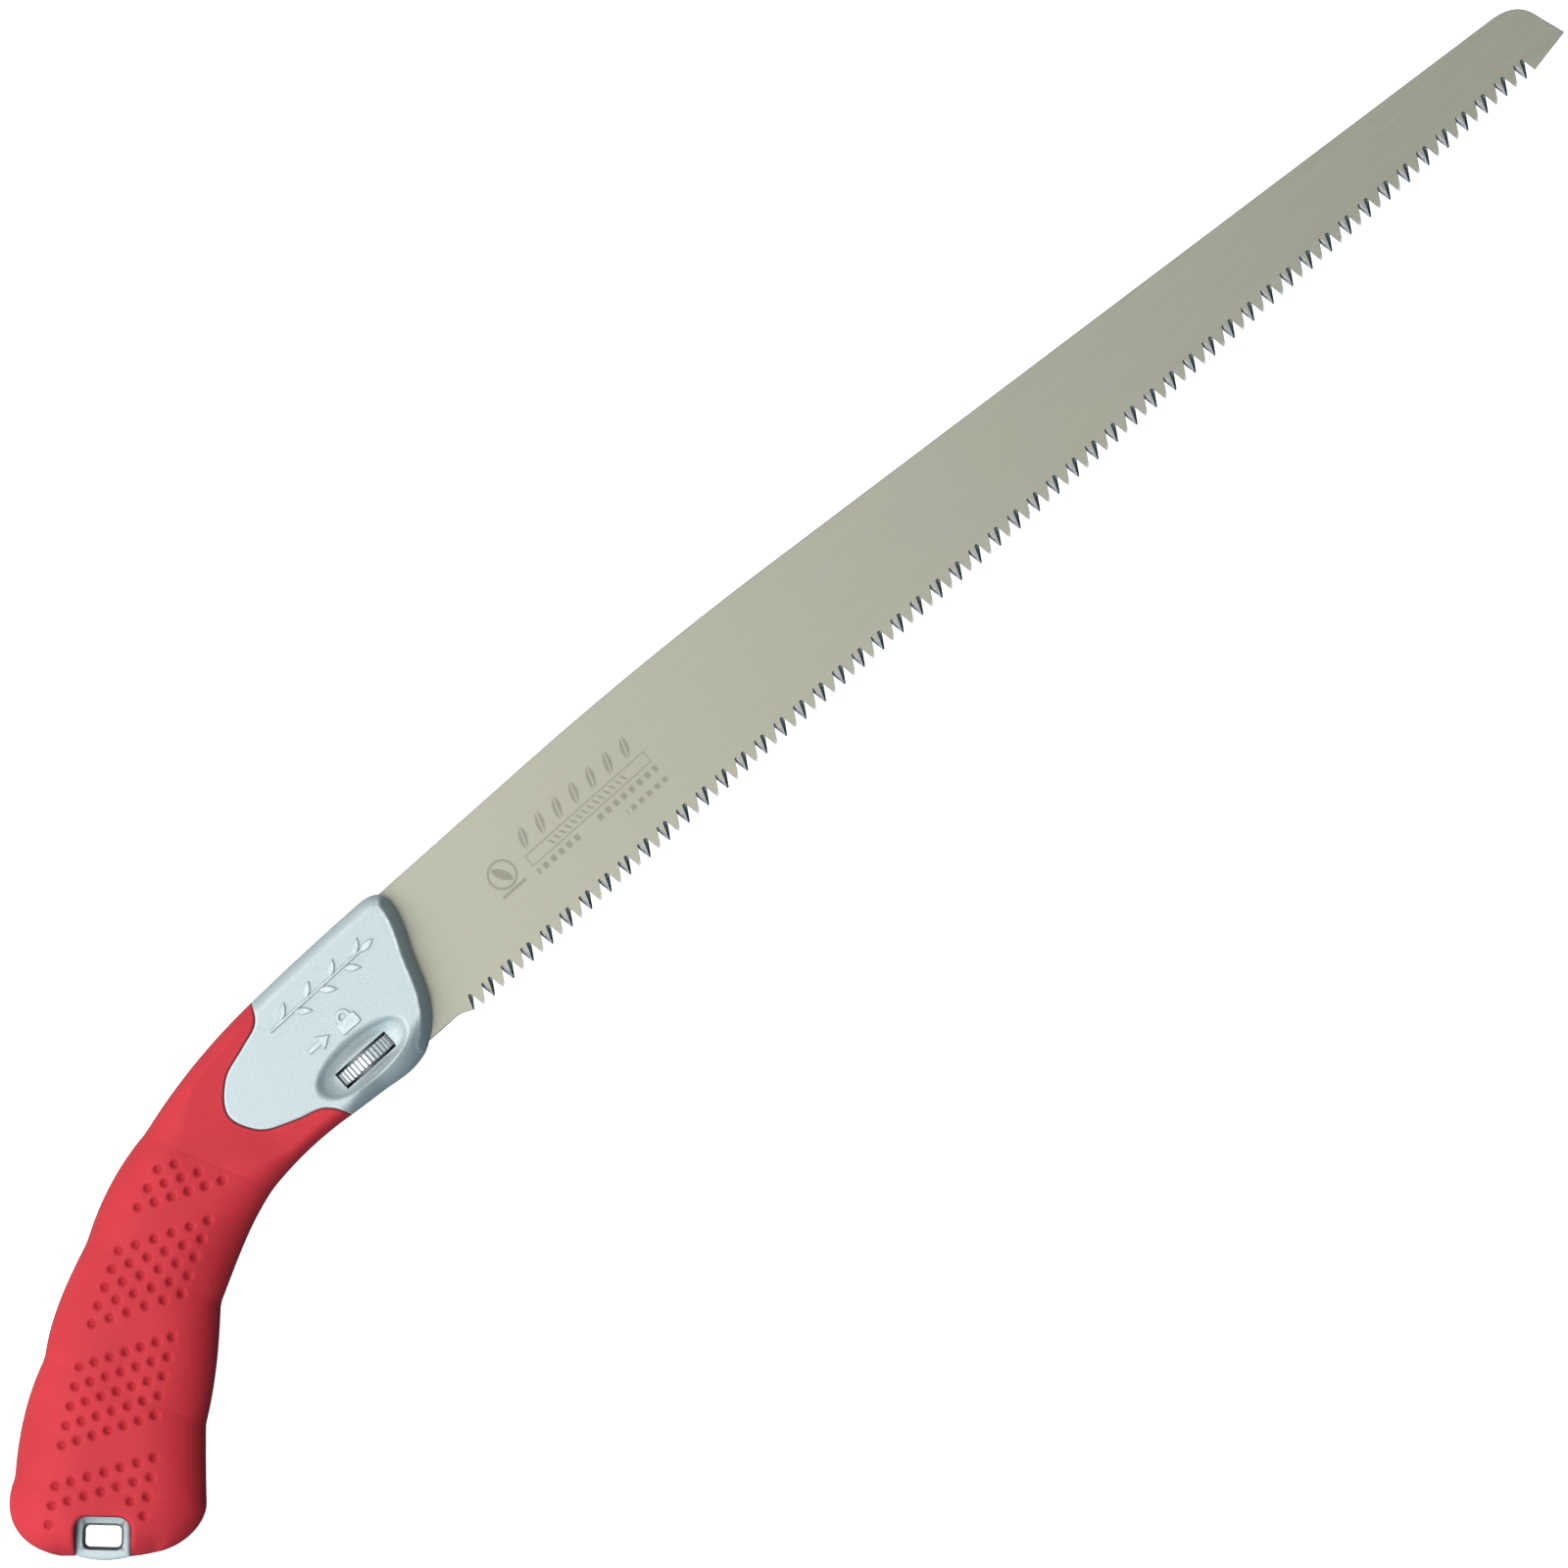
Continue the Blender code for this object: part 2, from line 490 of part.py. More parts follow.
def make_lock(rig, nickel, steel):
    """The wheel, the stud it drives, the plate that keys the stud, and two washers."""
    at = (LOCK_X, 0, 0)
    teeth = []
    for a in np.linspace(0, 2 * math.pi, 2 * KNURLS, endpoint=False):
        radius = WHEEL_RADIUS - KNURL_DEPTH * (len(teeth) % 2)
        teeth.append((radius * math.cos(a), -radius * math.sin(a)))
    rim = [[(x, y, z) for x, z in teeth] for y in (WHEEL_LOW, WHEEL_HIGH)]
    wheel = piece("lock_wheel", loft(rim), nickel, rig, at)
    bore = STUD_RADIUS + CLEARANCE
    boolean(wheel, cutter("wheel_bore", turned([(bore, 5), (bore, 12)], 24), rig, at))

    profile = [(STUD_RADIUS - STUD_CHAMFER, STUD_LOW), (STUD_RADIUS, STUD_LOW + STUD_CHAMFER),
               (STUD_RADIUS, STUD_FLAT_END)]
    y = STUD_FLAT_END + 0.2
    while y < STUD_HIGH - STUD_RADIUS:
        profile += [(STUD_RADIUS - THREAD_DEPTH, y), (STUD_RADIUS, y + THREAD_PITCH / 2)]
        y += THREAD_PITCH
    profile += [(STUD_RADIUS, STUD_HIGH - STUD_CHAMFER), (STUD_RADIUS - STUD_CHAMFER, STUD_HIGH)]
    stud = piece("lock_stud", turned(profile, 20, clip=(STUD_FLAT, STUD_FLAT_END)), steel, rig, at, smooth=30)
    wide, deep = STUD_SLOT
    boolean(stud, cutter("stud_slot", box((-9, STUD_HIGH - deep, -wide), (9, STUD_HIGH + 9, wide)), rig, at))

    half, low, high = KEY_PLATE
    plate = piece("stud_key_plate", box((-half, low, -half), (half, high, half)), steel, rig, at)
    key = turned([(bore, low - 1), (bore, high + 1)], 24, clip=(STUD_FLAT + CLEARANCE, high + 1))
    boolean(plate, cutter("key_hole", key, rig, at))
    piece("thrust_washer", ring(bore + 0.1, WASHER_RADIUS, *WASHER_Y, 28), steel, rig, at, smooth=40)
    wave = ring(bore + 0.2, WASHER_RADIUS - 0.2, WAVE_Y[0] + 0.2, WAVE_Y[1] - 0.2, 36, wave=0.2)
    piece("wave_washer", wave, steel, rig, at, smooth=40)


def make_screw(name, place, steel, rig):
    x, y, head = place
    radii = [(SCREW_SHANK - 0.3, SCREW_BITE - CLEARANCE), (SCREW_SHANK, SCREW_BITE - 0.9),
             (SCREW_SHANK, SCREW_CONE - head), (SCREW_HEAD, 0.3 - head), (SCREW_HEAD, -head)]
    loops = [[(px, py, z) for px, py in arc((0, 0), radius, 0, 360, 20)[:-1]] for radius, z in radii]
    screw = piece(name, loft(loops), steel, rig, (x, y, 0), smooth=30)
    hexagon = arc((0, 0), HEX_ACROSS / math.sqrt(3), 0, 360, 6)[:-1]
    boolean(screw, cutter(name + "_socket", prism(hexagon, -head - 1, HEX_DEPTH - head), rig, (x, y, 0)))


def make_pins(rig, steel):
    for name, (x, y, radius, reach) in (("tang_pin", TANG_PIN), ("back_stop_pin", STOP_PIN),
                                        ("butt_dowel", BUTT_DOWEL)):
        ends = [(radius - 0.3, -reach), (radius, 0.3 - reach), (radius, reach - 0.3), (radius - 0.3, reach)]
        loops = [[(px, py, z) for px, py in arc((0, 0), r, 0, 360, 20)[:-1]] for r, z in ends]
        piece(name, loft(loops), steel, rig, (x, y, 0), smooth=30)


def main():
    for obj in list(bpy.data.objects):
        bpy.data.objects.remove(obj)
    rig = bpy.data.objects.new("saw", None)
    bpy.context.scene.collection.objects.link(rig)
    rig.location = -Vector(ORIGIN) * MM
    ground_steel = material("blade_steel", (0.48, 0.47, 0.40), 0.42, 1.0)
    casting = material("silver_casting", (0.55, 0.62, 0.64), 0.38, 0.6)
    rubber = material("red_elastomer", (0.60, 0.04, 0.06), 0.55, 0.0)
    nickel = material("nickel", (0.66, 0.66, 0.64), 0.25, 1.0)
    zinc = material("zinc_steel", (0.50, 0.50, 0.50), 0.35, 1.0)
    make_blade(rig, ground_steel)
    make_frames(rig, casting)
    make_sleeve(rig, rubber)
    make_lock(rig, nickel, zinc)
    make_pins(rig, zinc)
    for i, place in enumerate(SCREWS):
        make_screw(f"frame_screw_{i + 1}", place, zinc, rig)


main()
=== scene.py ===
"""Looks of the pruning saw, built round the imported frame.

Sizes are in millimetres in the saw's own frame: X runs along the tooth line from the first
tooth to the blade's tip, Y from the teeth to the blade's back, and Z through the thickness,
with 0 in the blade's middle plane. The frame's blade box says where that frame lies.
"""

import math

import bmesh
import bpy
import numpy as np
from mathutils import Matrix, Vector


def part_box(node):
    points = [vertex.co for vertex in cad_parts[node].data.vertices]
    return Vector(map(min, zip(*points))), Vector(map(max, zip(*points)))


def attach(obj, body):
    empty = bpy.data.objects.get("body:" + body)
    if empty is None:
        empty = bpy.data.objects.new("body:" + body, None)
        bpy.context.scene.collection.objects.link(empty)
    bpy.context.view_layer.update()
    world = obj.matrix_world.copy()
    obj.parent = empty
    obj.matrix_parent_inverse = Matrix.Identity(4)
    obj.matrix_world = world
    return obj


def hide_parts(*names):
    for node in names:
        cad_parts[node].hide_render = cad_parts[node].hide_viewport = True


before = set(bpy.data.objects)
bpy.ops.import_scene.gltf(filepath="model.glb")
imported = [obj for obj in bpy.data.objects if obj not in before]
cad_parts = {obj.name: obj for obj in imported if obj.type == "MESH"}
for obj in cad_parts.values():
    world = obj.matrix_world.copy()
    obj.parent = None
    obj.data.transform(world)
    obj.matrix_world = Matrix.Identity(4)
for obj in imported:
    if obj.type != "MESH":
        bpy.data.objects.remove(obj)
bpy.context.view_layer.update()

MM = 0.001
CLEARANCE = 0.3
JOINT = 0.01  # the hairline left where two visible pieces meet
THROUGH = 20  # reaches past any face through the thickness

# Blade
TOOTH_PITCH, LAST_GULLET = 3.0, 108
FIRST_GULLET_X, GULLET_Y = 1.65, 3.55
BLADE_HALF, BLADE_BACK_Y, TIP_X = 0.6, 35.5, 337.0
TANG_LOW, TANG_HIGH, TANG_END = 14.5, 27.5, -50.5
SHOULDER_X, ROOT_END_X, BLADE_HEEL_Y = -6.6, -13.5, 2.4
FORK_Y, FORK_X, FORK_HALF = 21.0, -45.5, 2.8
NOTCH_DEPTH, NOTCH_HALF = 1.4, 2.9
POCKET_HALF, POCKET_GAP = 0.9, 0.4
BLADE_CHAMFER = 0.2
PLATE, BEVEL, LAND = range(3)  # finishes: the flat sides, the ground faces and the lands behind them

# One tooth, from its gullet: the tip, the end of its cutting edge for each side that the bevels
# face, the inner corners of the two bevels, and the height up to which the back of it is a land
TOOTH_TIP, TOOTH_END = (0.55, 0.2), {1: (1.0, 0.3), -1: (1.4, 0.8)}
TOOTH_ROOT_Y, BEVEL_Y = 5.2, 4.35
BEVEL_CORNERS = [(0.2, BEVEL_Y), (0.85, BEVEL_Y), (1.2, 1.8), (2.15, BEVEL_Y), (2.8, BEVEL_Y)]
EDGE_Z, EDGE_BACK_Z, LAND_TOP_Y, LAND_RISE = 0.15, 0.3, 0.85, 0.7

# Casting
HEAD_HALF, HEAD_EDGE, CHIN_EDGE = 9.8, 3.4, 6.1
FRONT_HALF, FRONT_BEVEL = 3.0, 2.7
PARTING_HALF = 0.15
HEAD_CENTRE = (-25.0, 19.0)
DISH_CENTRE, DISH_TOP = (-26.7, 9.9), (13.6, 6.2)
DISH_FLOOR_CENTRE, DISH_FLOOR = (-26.55, 8.9), (7.7, 2.6)
DISH_DEPTH = 2.8
SOFT = 0.35  # how softly the head's faces run into each other
HEAD_TOP = [(-37.5, 36.3), (-20, 36.85), (-4, 36.95)]
HEAD_NOSE = [(-4, 36.95), (1.5, 36.9), (1.95, 33)]
HEAD_FRONT = [(1.95, 33), (1.6, 30), (-2.5, 19), (-5.5, 11), (-9.5, 5), (-13.3, 2)]
HEAD_CHIN = [(-13.3, 2), (-15.8, 0.8), (-19, 0.15), (-28, 0.75), (-37.2, 1.5)]
BORDER = [(-37.5, 36.3), (-39.9, 32.1), (-45.5, 29.9), (-53.5, 26.9), (-58.6, 20),
          (-55.5, 13.2), (-47.5, 9.2), (-40.6, 6.7), (-37.2, 1.5)]
MARK_HEIGHT, MARK_SLOPE = 0.5, 0.36
# Width of the painted highlight along the head's ridge and border lip
HIGHLIGHT_WIDTH = 0.35

# Grip
BACK_CUSPS = [(-37.5, 36.3), (-76, 30), (-102.5, 20.3), (-127.5, 6.8), (-151, -9.3)]
BACK_BULGES = [(1.2, 0), (1.5, -0.05), (1.25, 0.3), (1.4, -0.1)]
BACK_CORNER = [(-151, -9.3), (-158, -12.5), (-162.5, -20.5), (-155, -30)]
BELLY_CUSPS = [(-37.2, 1.5), (-62, 0.8), (-88.8, -11), (-109.8, -29.5), (-122, -43.5)]
BELLY_BULGES = [(-0.9, 0), (-0.83, -0.5), (0.75, 0.2), (-0.1, 0)]
BELLY_CORNER = [(-122, -43.5), (-125.5, -46.9), (-133, -47.1), (-138, -43.8)]
GRIP_HALF = [(0.6, 9.8), (1.3, 11.7), (2.2, 12.9), (3.2, 13.0), (4.2, 12.2), (5, 11.5)]
BUTT_ROUND, BUTT_BULGE = 9.0, 1.3
GRIP_EDGE, MOST_ROUNDED = 17.5, 0.92  # width of the grip's rounding, and its most as a share
SLEEVE_WALL = 3.2
CORE_HALF = [(0, 6.6), (0.6, 6.6), (1.4, 8.2), (2.2, 9.4), (3.3, 9.2), (4.3, 6.0)]
CORE_END, CORE_EDGE = 4.3, 3.0
ARM_ROWS = [0.3, 0.6, *np.arange(1, 4.1, 0.25)]
GRIP_INSET = 0.1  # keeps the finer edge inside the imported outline
HOLLOWS, HOLLOW_WALL = [(0.85, 1.75), (2.25, 3.35)], 2.6
# Dimples: first one, step along a row, step between rows, and how many each row holds
DIMPLES = [((-88, 18.3), (3.7, -1.65), (4.6, 1.75), [range(6), range(4), range(2)]),
           ((-113.7, 5.3), (4.0, -1.7), (3.93, 2.13), [range(6)] * 5),
           ((-137.4, -11), (3.42, -1.5), (3.75, 2.7), [range(7)] * 5),
           ((-144.8, -17), (3.55, -1.7), (-3.55, -2.8), [range(7), range(7), (0, 5, 6), (6,)])]
DIMPLE_RADIUS, DIMPLE_DEPTH = 1.2, 0.85

# Lanyard lug: its own axes run along the butt edge and inwards
LUG_CENTRE, LUG_TURN = (-144.6, -33.0), math.radians(-43)
LUG_HALF, LUG_ROOT, LUG_OUT, LUG_THICK = (6.4, 4.7), 12.0, -4.5, 4.6
LUG_HOLE, LUG_BULGE, LUG_CORNER, LUG_EDGE = (9.2, 5.9, 1.6), 1.0, 3.0, 1.0

# Lock
LOCK_X = -26.5
WHEEL_RADIUS, KNURL_DEPTH, KNURLS = 9.6, 0.35, 52
WHEEL_LOW, WHEEL_HIGH = 7.15, 10.45
CAVITY_RADIUS, CAVITY_LOW, CAVITY_HIGH = 10.1, 6.75, 10.85
HUB_INNER, HUB_OUTER = 5.7, 7.35  # rings on the wheel's sides that centre it in the cavity
STUD_RADIUS, STUD_LOW, STUD_HIGH, STUD_TRAVEL = 2.5, 2.0, 15.1, 1.5
KEY_PLATE = (4.5, 3.4, 4.9)
WASHER_RADIUS, WASHER_LOW, WASHER_HIGH = 5.5, 5.75, 11.75

# Fasteners
TANG_PIN = (-45.5, 21.0, 2.5, 7.0)
STOP_PIN = (-8.9, 31.2, 2.0, 5.5)
BUTT_DOWEL = (-139.5, -26.5, 1.75, 3.2)
SCREW_HEAD, SCREW_SHANK, SCREW_CONE, SCREW_BITE = 3.1, 1.75, 1.7, 6.0
HEX_ACROSS, HEX_DEPTH = 2.5, 1.6
SCREWS = [(-16, 31.5, 9.2), (-36.5, 31.0, 9.2), (-54.2, 20.3, 9.2), (-95.6, 4.6, 8.4),
          (-131, -22, 7.0)]

# View: what the camera looks straight down on, and how much of it the picture shows
VIEW_CENTRE, VIEW_WIDTH, VIEW_TURN = (87.6, -7.6), 361.2, math.radians(-41.62)
CAMERA_HEIGHT = 5000.0

blade_low, blade_high = (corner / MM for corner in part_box("blade"))
ORIGIN = Vector((blade_high.x - TIP_X, blade_high.y - BLADE_BACK_Y, (blade_low.z + blade_high.z) / 2))


# ---- outlines ----

def lengths(vectors):
    return np.linalg.norm(vectors, axis=-1)


def run_along(line):
    """How far along the line each of its points lies."""
    return np.concatenate([[0], np.cumsum(lengths(np.diff(line, axis=0)))])


def left_of(steps):
    """A unit vector to the left of each step."""
    steps = steps / lengths(steps)[:, None]
    return np.stack([-steps[:, 1], steps[:, 0]], 1)


def curve(points, steps):
    """A smooth line through the points, with this many steps between each two."""
    points = np.array(points, float)
    at = run_along(points)
    slope = np.gradient(points, at, axis=0, edge_order=2)
    line = [points[0]]
    for a, b, m, n, length in zip(points, points[1:], slope, slope[1:], np.diff(at)):
        for t in np.linspace(0, 1, steps + 1)[1:]:
            line.append((1 + 2 * t) * (1 - t) ** 2 * a + t * (1 - t) ** 2 * length * m
                        + t * t * (3 - 2 * t) * b - t * t * (1 - t) * length * n)
    return np.array(line)


def corner(start, point, end, steps=4):
    """A rounded corner from start to end, drawn towards the point."""
    t = np.linspace(0, 1, steps + 1)[:, None]
    start, point, end = (np.array(p, float) for p in (start, point, end))
    return list((1 - t) ** 2 * start + 2 * t * (1 - t) * point + t * t * end)


def arc(centre, radius, start, end, steps):
    turns = np.radians(np.linspace(start, end, steps + 1))
    return [(centre[0] + radius * math.cos(a), centre[1] + radius * math.sin(a)) for a in turns]


def bulged(start, end, bulge, skew, t):
    """The point at t on a bulged line; skew moves the bulge towards its end."""
    start, end = np.array(start, float), np.array(end, float)
    along = (end - start) / np.linalg.norm(end - start)
    left = np.array([-along[1], along[0]])
    return start + (end - start) * t + left * 4 * bulge * t * (1 - t) * (1 + skew * (2 * t - 1))


def bezier(points, t):
    a, b, c, d = (np.array(p, float) for p in points)
    return (1 - t) ** 3 * a + 3 * t * (1 - t) ** 2 * b + 3 * t * t * (1 - t) * c + t ** 3 * d


def grip_edge(cusps, bulges, last, side, s):
    """The point at s, 0 to 5, along one long edge of the grip."""
    i = min(int(s), 4)
    if i == 4:
        return bezier(last, s - 4)
    return bulged(cusps[i], cusps[i + 1], side * bulges[i][0], bulges[i][1], s - i)


def averaged(values, reach, ends="edge"):
    """Each value averaged with this many neighbours on either side."""
    count = 2 * reach + 1
    return np.convolve(np.pad(values, reach, ends), np.ones(count) / count, "valid")


def eased_cusps(line):
    """The edge line with the cusps between its swells slightly rounded."""
    near = np.exp(-((EDGE_S - np.clip(EDGE_S.round(), 1, 4)) / 0.05) ** 2)[:, None]
    soft = np.stack([averaged(values, 9) for values in line.T], 1)
    return line + near * (soft - line)


EDGE_S = np.linspace(0, 5, 1001)
BACK_LINE = eased_cusps(np.array(
    [grip_edge(BACK_CUSPS, BACK_BULGES, BACK_CORNER, -1, s) for s in EDGE_S]))
BELLY_LINE = eased_cusps(np.array(
    [grip_edge(BELLY_CUSPS, BELLY_BULGES, BELLY_CORNER, 1, s) for s in EDGE_S]))


def along(line, s):
    """Points of an edge line at the values of s, which may have any shape."""
    return np.stack([np.interp(s, EDGE_S, line[:, 0]), np.interp(s, EDGE_S, line[:, 1])], -1)


def edges(s):
    """The grip's back and belly edges at s, and half the distance between them."""
    back, belly = along(BACK_LINE, s), along(BELLY_LINE, s)
    return back, belly, lengths(back - belly) / 2


def spread(pairs, s):
    """The value at s, read smoothly from (s, value) pairs."""
    places, values = zip(*pairs)
    fine = np.linspace(places[0], places[-1], 60)
    return np.interp(s, fine, averaged(np.interp(fine, places, values), 4))


def offset(line, distance):
    """The line moved to its left by the distance."""
    return line + distance * left_of(np.gradient(line, axis=0))


def resample(line, spacing):
    """The line in even steps of about the spacing."""
    line = np.array(line, float)
    at = run_along(line)
    wanted = np.linspace(0, at[-1], max(2, round(at[-1] / spacing) + 1))
    return np.stack([np.interp(wanted, at, line[:, 0]), np.interp(wanted, at, line[:, 1])], 1)


def distance_to(line, points):
    """Distance of each point from the line; the points may have any leading shape."""
    line = np.array(line, float)
    flat = points.reshape(-1, 2)
    nearest = np.full(len(flat), np.inf)
    for start, end in zip(line, line[1:]):
        step = end - start
        t = np.clip((flat - start) @ step / (step @ step), 0, 1)
        nearest = np.minimum(nearest, lengths(flat - start - t[:, None] * step))
    return nearest.reshape(points.shape[:-1])


def dome(u, power=2.5):
    """0 at an edge, with a steep start, rising to 1 where u reaches 1."""
    return (1 - (1 - np.clip(u, 0, 1)) ** power) ** (1 / power)


def ease(t):
    """0 up to t = 0 and 1 from t = 1, with a smooth step between."""
    t = np.clip(t, 0, 1)
    return t * t * (3 - 2 * t)


def soft_minimum(a, b, soft):
    """The lower of a and b, with the crease between them rounded."""
    mixed = np.clip(0.5 + (a - b) / (2 * soft), 0, 1)
    return a * (1 - mixed) + b * mixed - soft * mixed * (1 - mixed)


def rounding(distance, radius):
    """How far an edge rounded to the radius lies under the face, at a distance inside it."""
    return radius - np.sqrt(radius ** 2 - np.clip(radius - distance, 0, radius) ** 2)


def lug_point(x, y):
    """The place of a point given along the lug's own axes."""
    return Matrix.Rotation(LUG_TURN, 2) @ Vector((x, y)) + Vector(LUG_CENTRE)


def on_lug(points):
    """Points along the lug's own axes."""
    return (points - np.array(LUG_CENTRE)) @ np.array(Matrix.Rotation(-LUG_TURN, 2)).T


def rounded_box(x0, x1, y0, y1, radius, steps=4):
    corners = [((x1 - radius, y1 - radius), 0), ((x0 + radius, y1 - radius), 90),
               ((x0 + radius, y0 + radius), 180), ((x1 - radius, y0 + radius), 270)]
    return [p for centre, turn in corners for p in arc(centre, radius, turn, turn + 90, steps)]


def pocket_outline():
    gap = POCKET_GAP
    low, high, heel, top = TANG_LOW - gap, TANG_HIGH + gap, BLADE_HEEL_Y - gap, BLADE_BACK_Y + gap
    end, root, shoulder, front = TANG_END - gap, ROOT_END_X - gap, SHOULDER_X - gap, 12
    return [(front, top), (shoulder, top), (shoulder, high), (end, high), (end, low), (root, low),
            (root, heel), (front, heel)]


# ---- solids: each function returns points and faces ----

def loft(loops):
    """A closed solid through loops of equal length, the first and last filled."""
    count = len(loops[0])
    points = [tuple(p) for loop in loops for p in loop]
    faces = [list(range(count))[::-1], [len(points) - count + i for i in range(count)]]
    for row in range(len(loops) - 1):
        for i in range(count):
            a, b = row * count + i, row * count + (i + 1) % count
            faces.append([a, b, b + count, a + count])
    return points, faces


def prism(outline, low, high):
    return loft([[(x, y, z) for x, y in outline] for z in (low, high)])


def box(low, high):
    outline = [(low[0], low[1]), (high[0], low[1]), (high[0], high[1]), (low[0], high[1])]
    return prism(outline, low[2], high[2])


def turned(profile, segments):
    """A solid turned about a line along Y through LOCK_X, from (radius, y) pairs."""
    turns = np.linspace(0, 2 * math.pi, segments, endpoint=False)
    return loft([[(LOCK_X + r * math.cos(a), y, -r * math.sin(a)) for a in turns] for r, y in profile])


def stacked(place, profile, segments=32):
    """A round solid along Z at the place, from (radius, z) pairs."""
    return loft([[(x, y, z) for x, y in arc(place, radius, 0, 360, segments)[:-1]]
                 for radius, z in profile])


def core(rows, grow=0.0, wall=0.0):
    """The casting's arm inside the sleeve, grown or thinned all round."""
    loops = []
    inset = SLEEVE_WALL + wall
    rise = 1 - np.cos(np.linspace(0, math.pi / 2, 8)) ** 0.8
    for s in rows:
        back, belly, width = edges(s)
        shrink = 1 - (inset - grow) / width
        reach = min(CORE_EDGE / width, MOST_ROUNDED)
        c = 1 - reach * rise
        c = np.concatenate([-c, c[::-1]]) * shrink
        half = spread(CORE_HALF, s) - wall + grow
        z = np.maximum(half * dome((1 - np.abs(c) / shrink) / reach), 0.5)
        plan = (back + belly) / 2 + c[:, None] * (back - belly) / 2
        top = [(x, y, h) for (x, y), h in zip(plan, z)]
        loops.append(top[::-1] + [(x, y, -h) for x, y, h in top])
    return loft(loops)


def lug_block(half_width, inner, outer, radius, levels):
    """The lug's rounded outline at levels of (z, inset)."""
    loops = []
    for z, inset in levels:
        x, y0, y1 = half_width - inset, outer + inset, inner - inset
        r = max(radius - inset, 0.2)
        outline = arc((x - r, y1 - r), r, 0, 90, 8) + arc((r - x, y1 - r), r, 90, 180, 8)
        outline += [(t * x, y0 - LUG_BULGE * (1 - t * t)) for t in np.linspace(-1, 1, 17)]
        loops.append([(*lug_point(px, py), z) for px, py in outline])
    return loft(loops)


def lug_hole():
    """The lanyard hole with its two rims flared."""
    levels = [(-THROUGH, 1.0), (-LUG_THICK - 0.05, 0.25), (0.4 - LUG_THICK, 0), (0, -0.5),
              (LUG_THICK - 0.4, 0), (LUG_THICK + 0.05, 0.25), (THROUGH, 1.0)]
    loops = []
    for z, flare in levels:
        x, y = LUG_HOLE[0] / 2 + flare, LUG_HOLE[1] / 2 + flare
        loops.append([(*lug_point(*p), z) for p in rounded_box(-x, x, -y, y, LUG_HOLE[2] + flare, 8)])
    return loft(loops)


def lug_distance(points):
    """How far points lie outside the sleeve's window over the lug; negative inside it."""
    local = on_lug(points)
    half = np.array(LUG_HALF) + JOINT - LUG_CORNER
    beyond = np.stack([np.abs(local[..., 0]), local[..., 1]], -1) - half
    outside = lengths(np.maximum(beyond, 0))
    return outside + np.minimum(beyond.max(-1), 0) - LUG_CORNER


# ---- grip surface ----

def grip_grid():
    """The grip's rows (s) and columns (c, from +1 at the back to -1 at the belly)."""
    t = np.linspace(0, 1, 61)
    edge_t, edge_share = 0.2, 0.12  # the rows crowd towards the edge within this
    step = np.where(t < edge_t, edge_share * (t / edge_t) ** 2.3, edge_share + 1.38 * (t - edge_t))
    half = step / step[-1]
    c = np.concatenate([1 - half, (half - 1)[::-1][1:]])
    border = offset(curve(BORDER, 24), -JOINT)
    back, belly, _ = edges(EDGE_S[:300])
    places = []
    for point in border:
        across = ((point - belly) * (back - belly)).sum(1) / ((back - belly) ** 2).sum(1)
        nearest = lengths(belly + across[:, None] * (back - belly) - point).argmin()
        places.append((2 * across[nearest] - 1, EDGE_S[nearest]))
    border_c, border_s = np.array(sorted(places)).T
    first = np.interp(c, border_c, averaged(border_s, 2))
    early = np.linspace(0, 1, 62)[:-1]
    late = np.concatenate([np.linspace(1, 4, 205)[:-1], np.linspace(4, 4.85, 52)[:-1],
                           5 - 0.15 * np.linspace(1, 0, 14) ** 2.2])
    s = np.concatenate([first + (1 - first) * early[:, None], np.repeat(late[:, None], len(c), 1)])
    return s, np.broadcast_to(c, s.shape)


def from_border(plan):
    """Distance from the line where the sleeve meets the head."""
    return distance_to(offset(curve(BORDER, 8), -JOINT), plan)


def in_dimples(plan):
    """1 in the middle of a dimple, falling to 0 at its edge and outside."""
    share = np.zeros(plan.shape[:-1])
    for start, step, row_step, rows in DIMPLES:
        for row, places in enumerate(rows):
            for i in places:
                centre = np.array(start) + i * np.array(step) + row * np.array(row_step)
                share = np.maximum(share, 1 - ((plan - centre) ** 2).sum(-1) / DIMPLE_RADIUS ** 2)
    return share


def grip_heights(s, c, plan):
    """Half the grip's thickness at each point of the grid."""
    edge = HEAD_EDGE + (GRIP_EDGE - HEAD_EDGE) * np.clip((s - 0.6) / 0.9, 0, 1)
    reach = np.minimum(edge / edges(s)[2], MOST_ROUNDED)
    power = 2.5 - 0.2 * ease(s)
    inside = (1 - np.abs(c)) / reach
    z = spread(GRIP_HALF, np.maximum(s, 0.6)) * dome(inside, power)
    butt = distance_to(plan[-1, ::6], plan)
    z = z * dome(butt / BUTT_ROUND)
    fade = ease(inside * 2.5) * ease(butt / 4)
    crease = 1 - np.abs(np.sin(math.pi * s)) ** 0.65
    swell = 0.4 * crease * ease((s - 0.75) / 0.25) * ease((4.6 - s) / 0.3)
    z = z - fade * swell
    z = z - DIMPLE_DEPTH * in_dimples(plan) ** 0.9
    z = z - np.minimum(rounding(from_border(plan), 0.5), z * 0.3)
    return np.maximum(z - rounding(np.maximum(lug_distance(plan), 0), 1.3) * fade, 0)


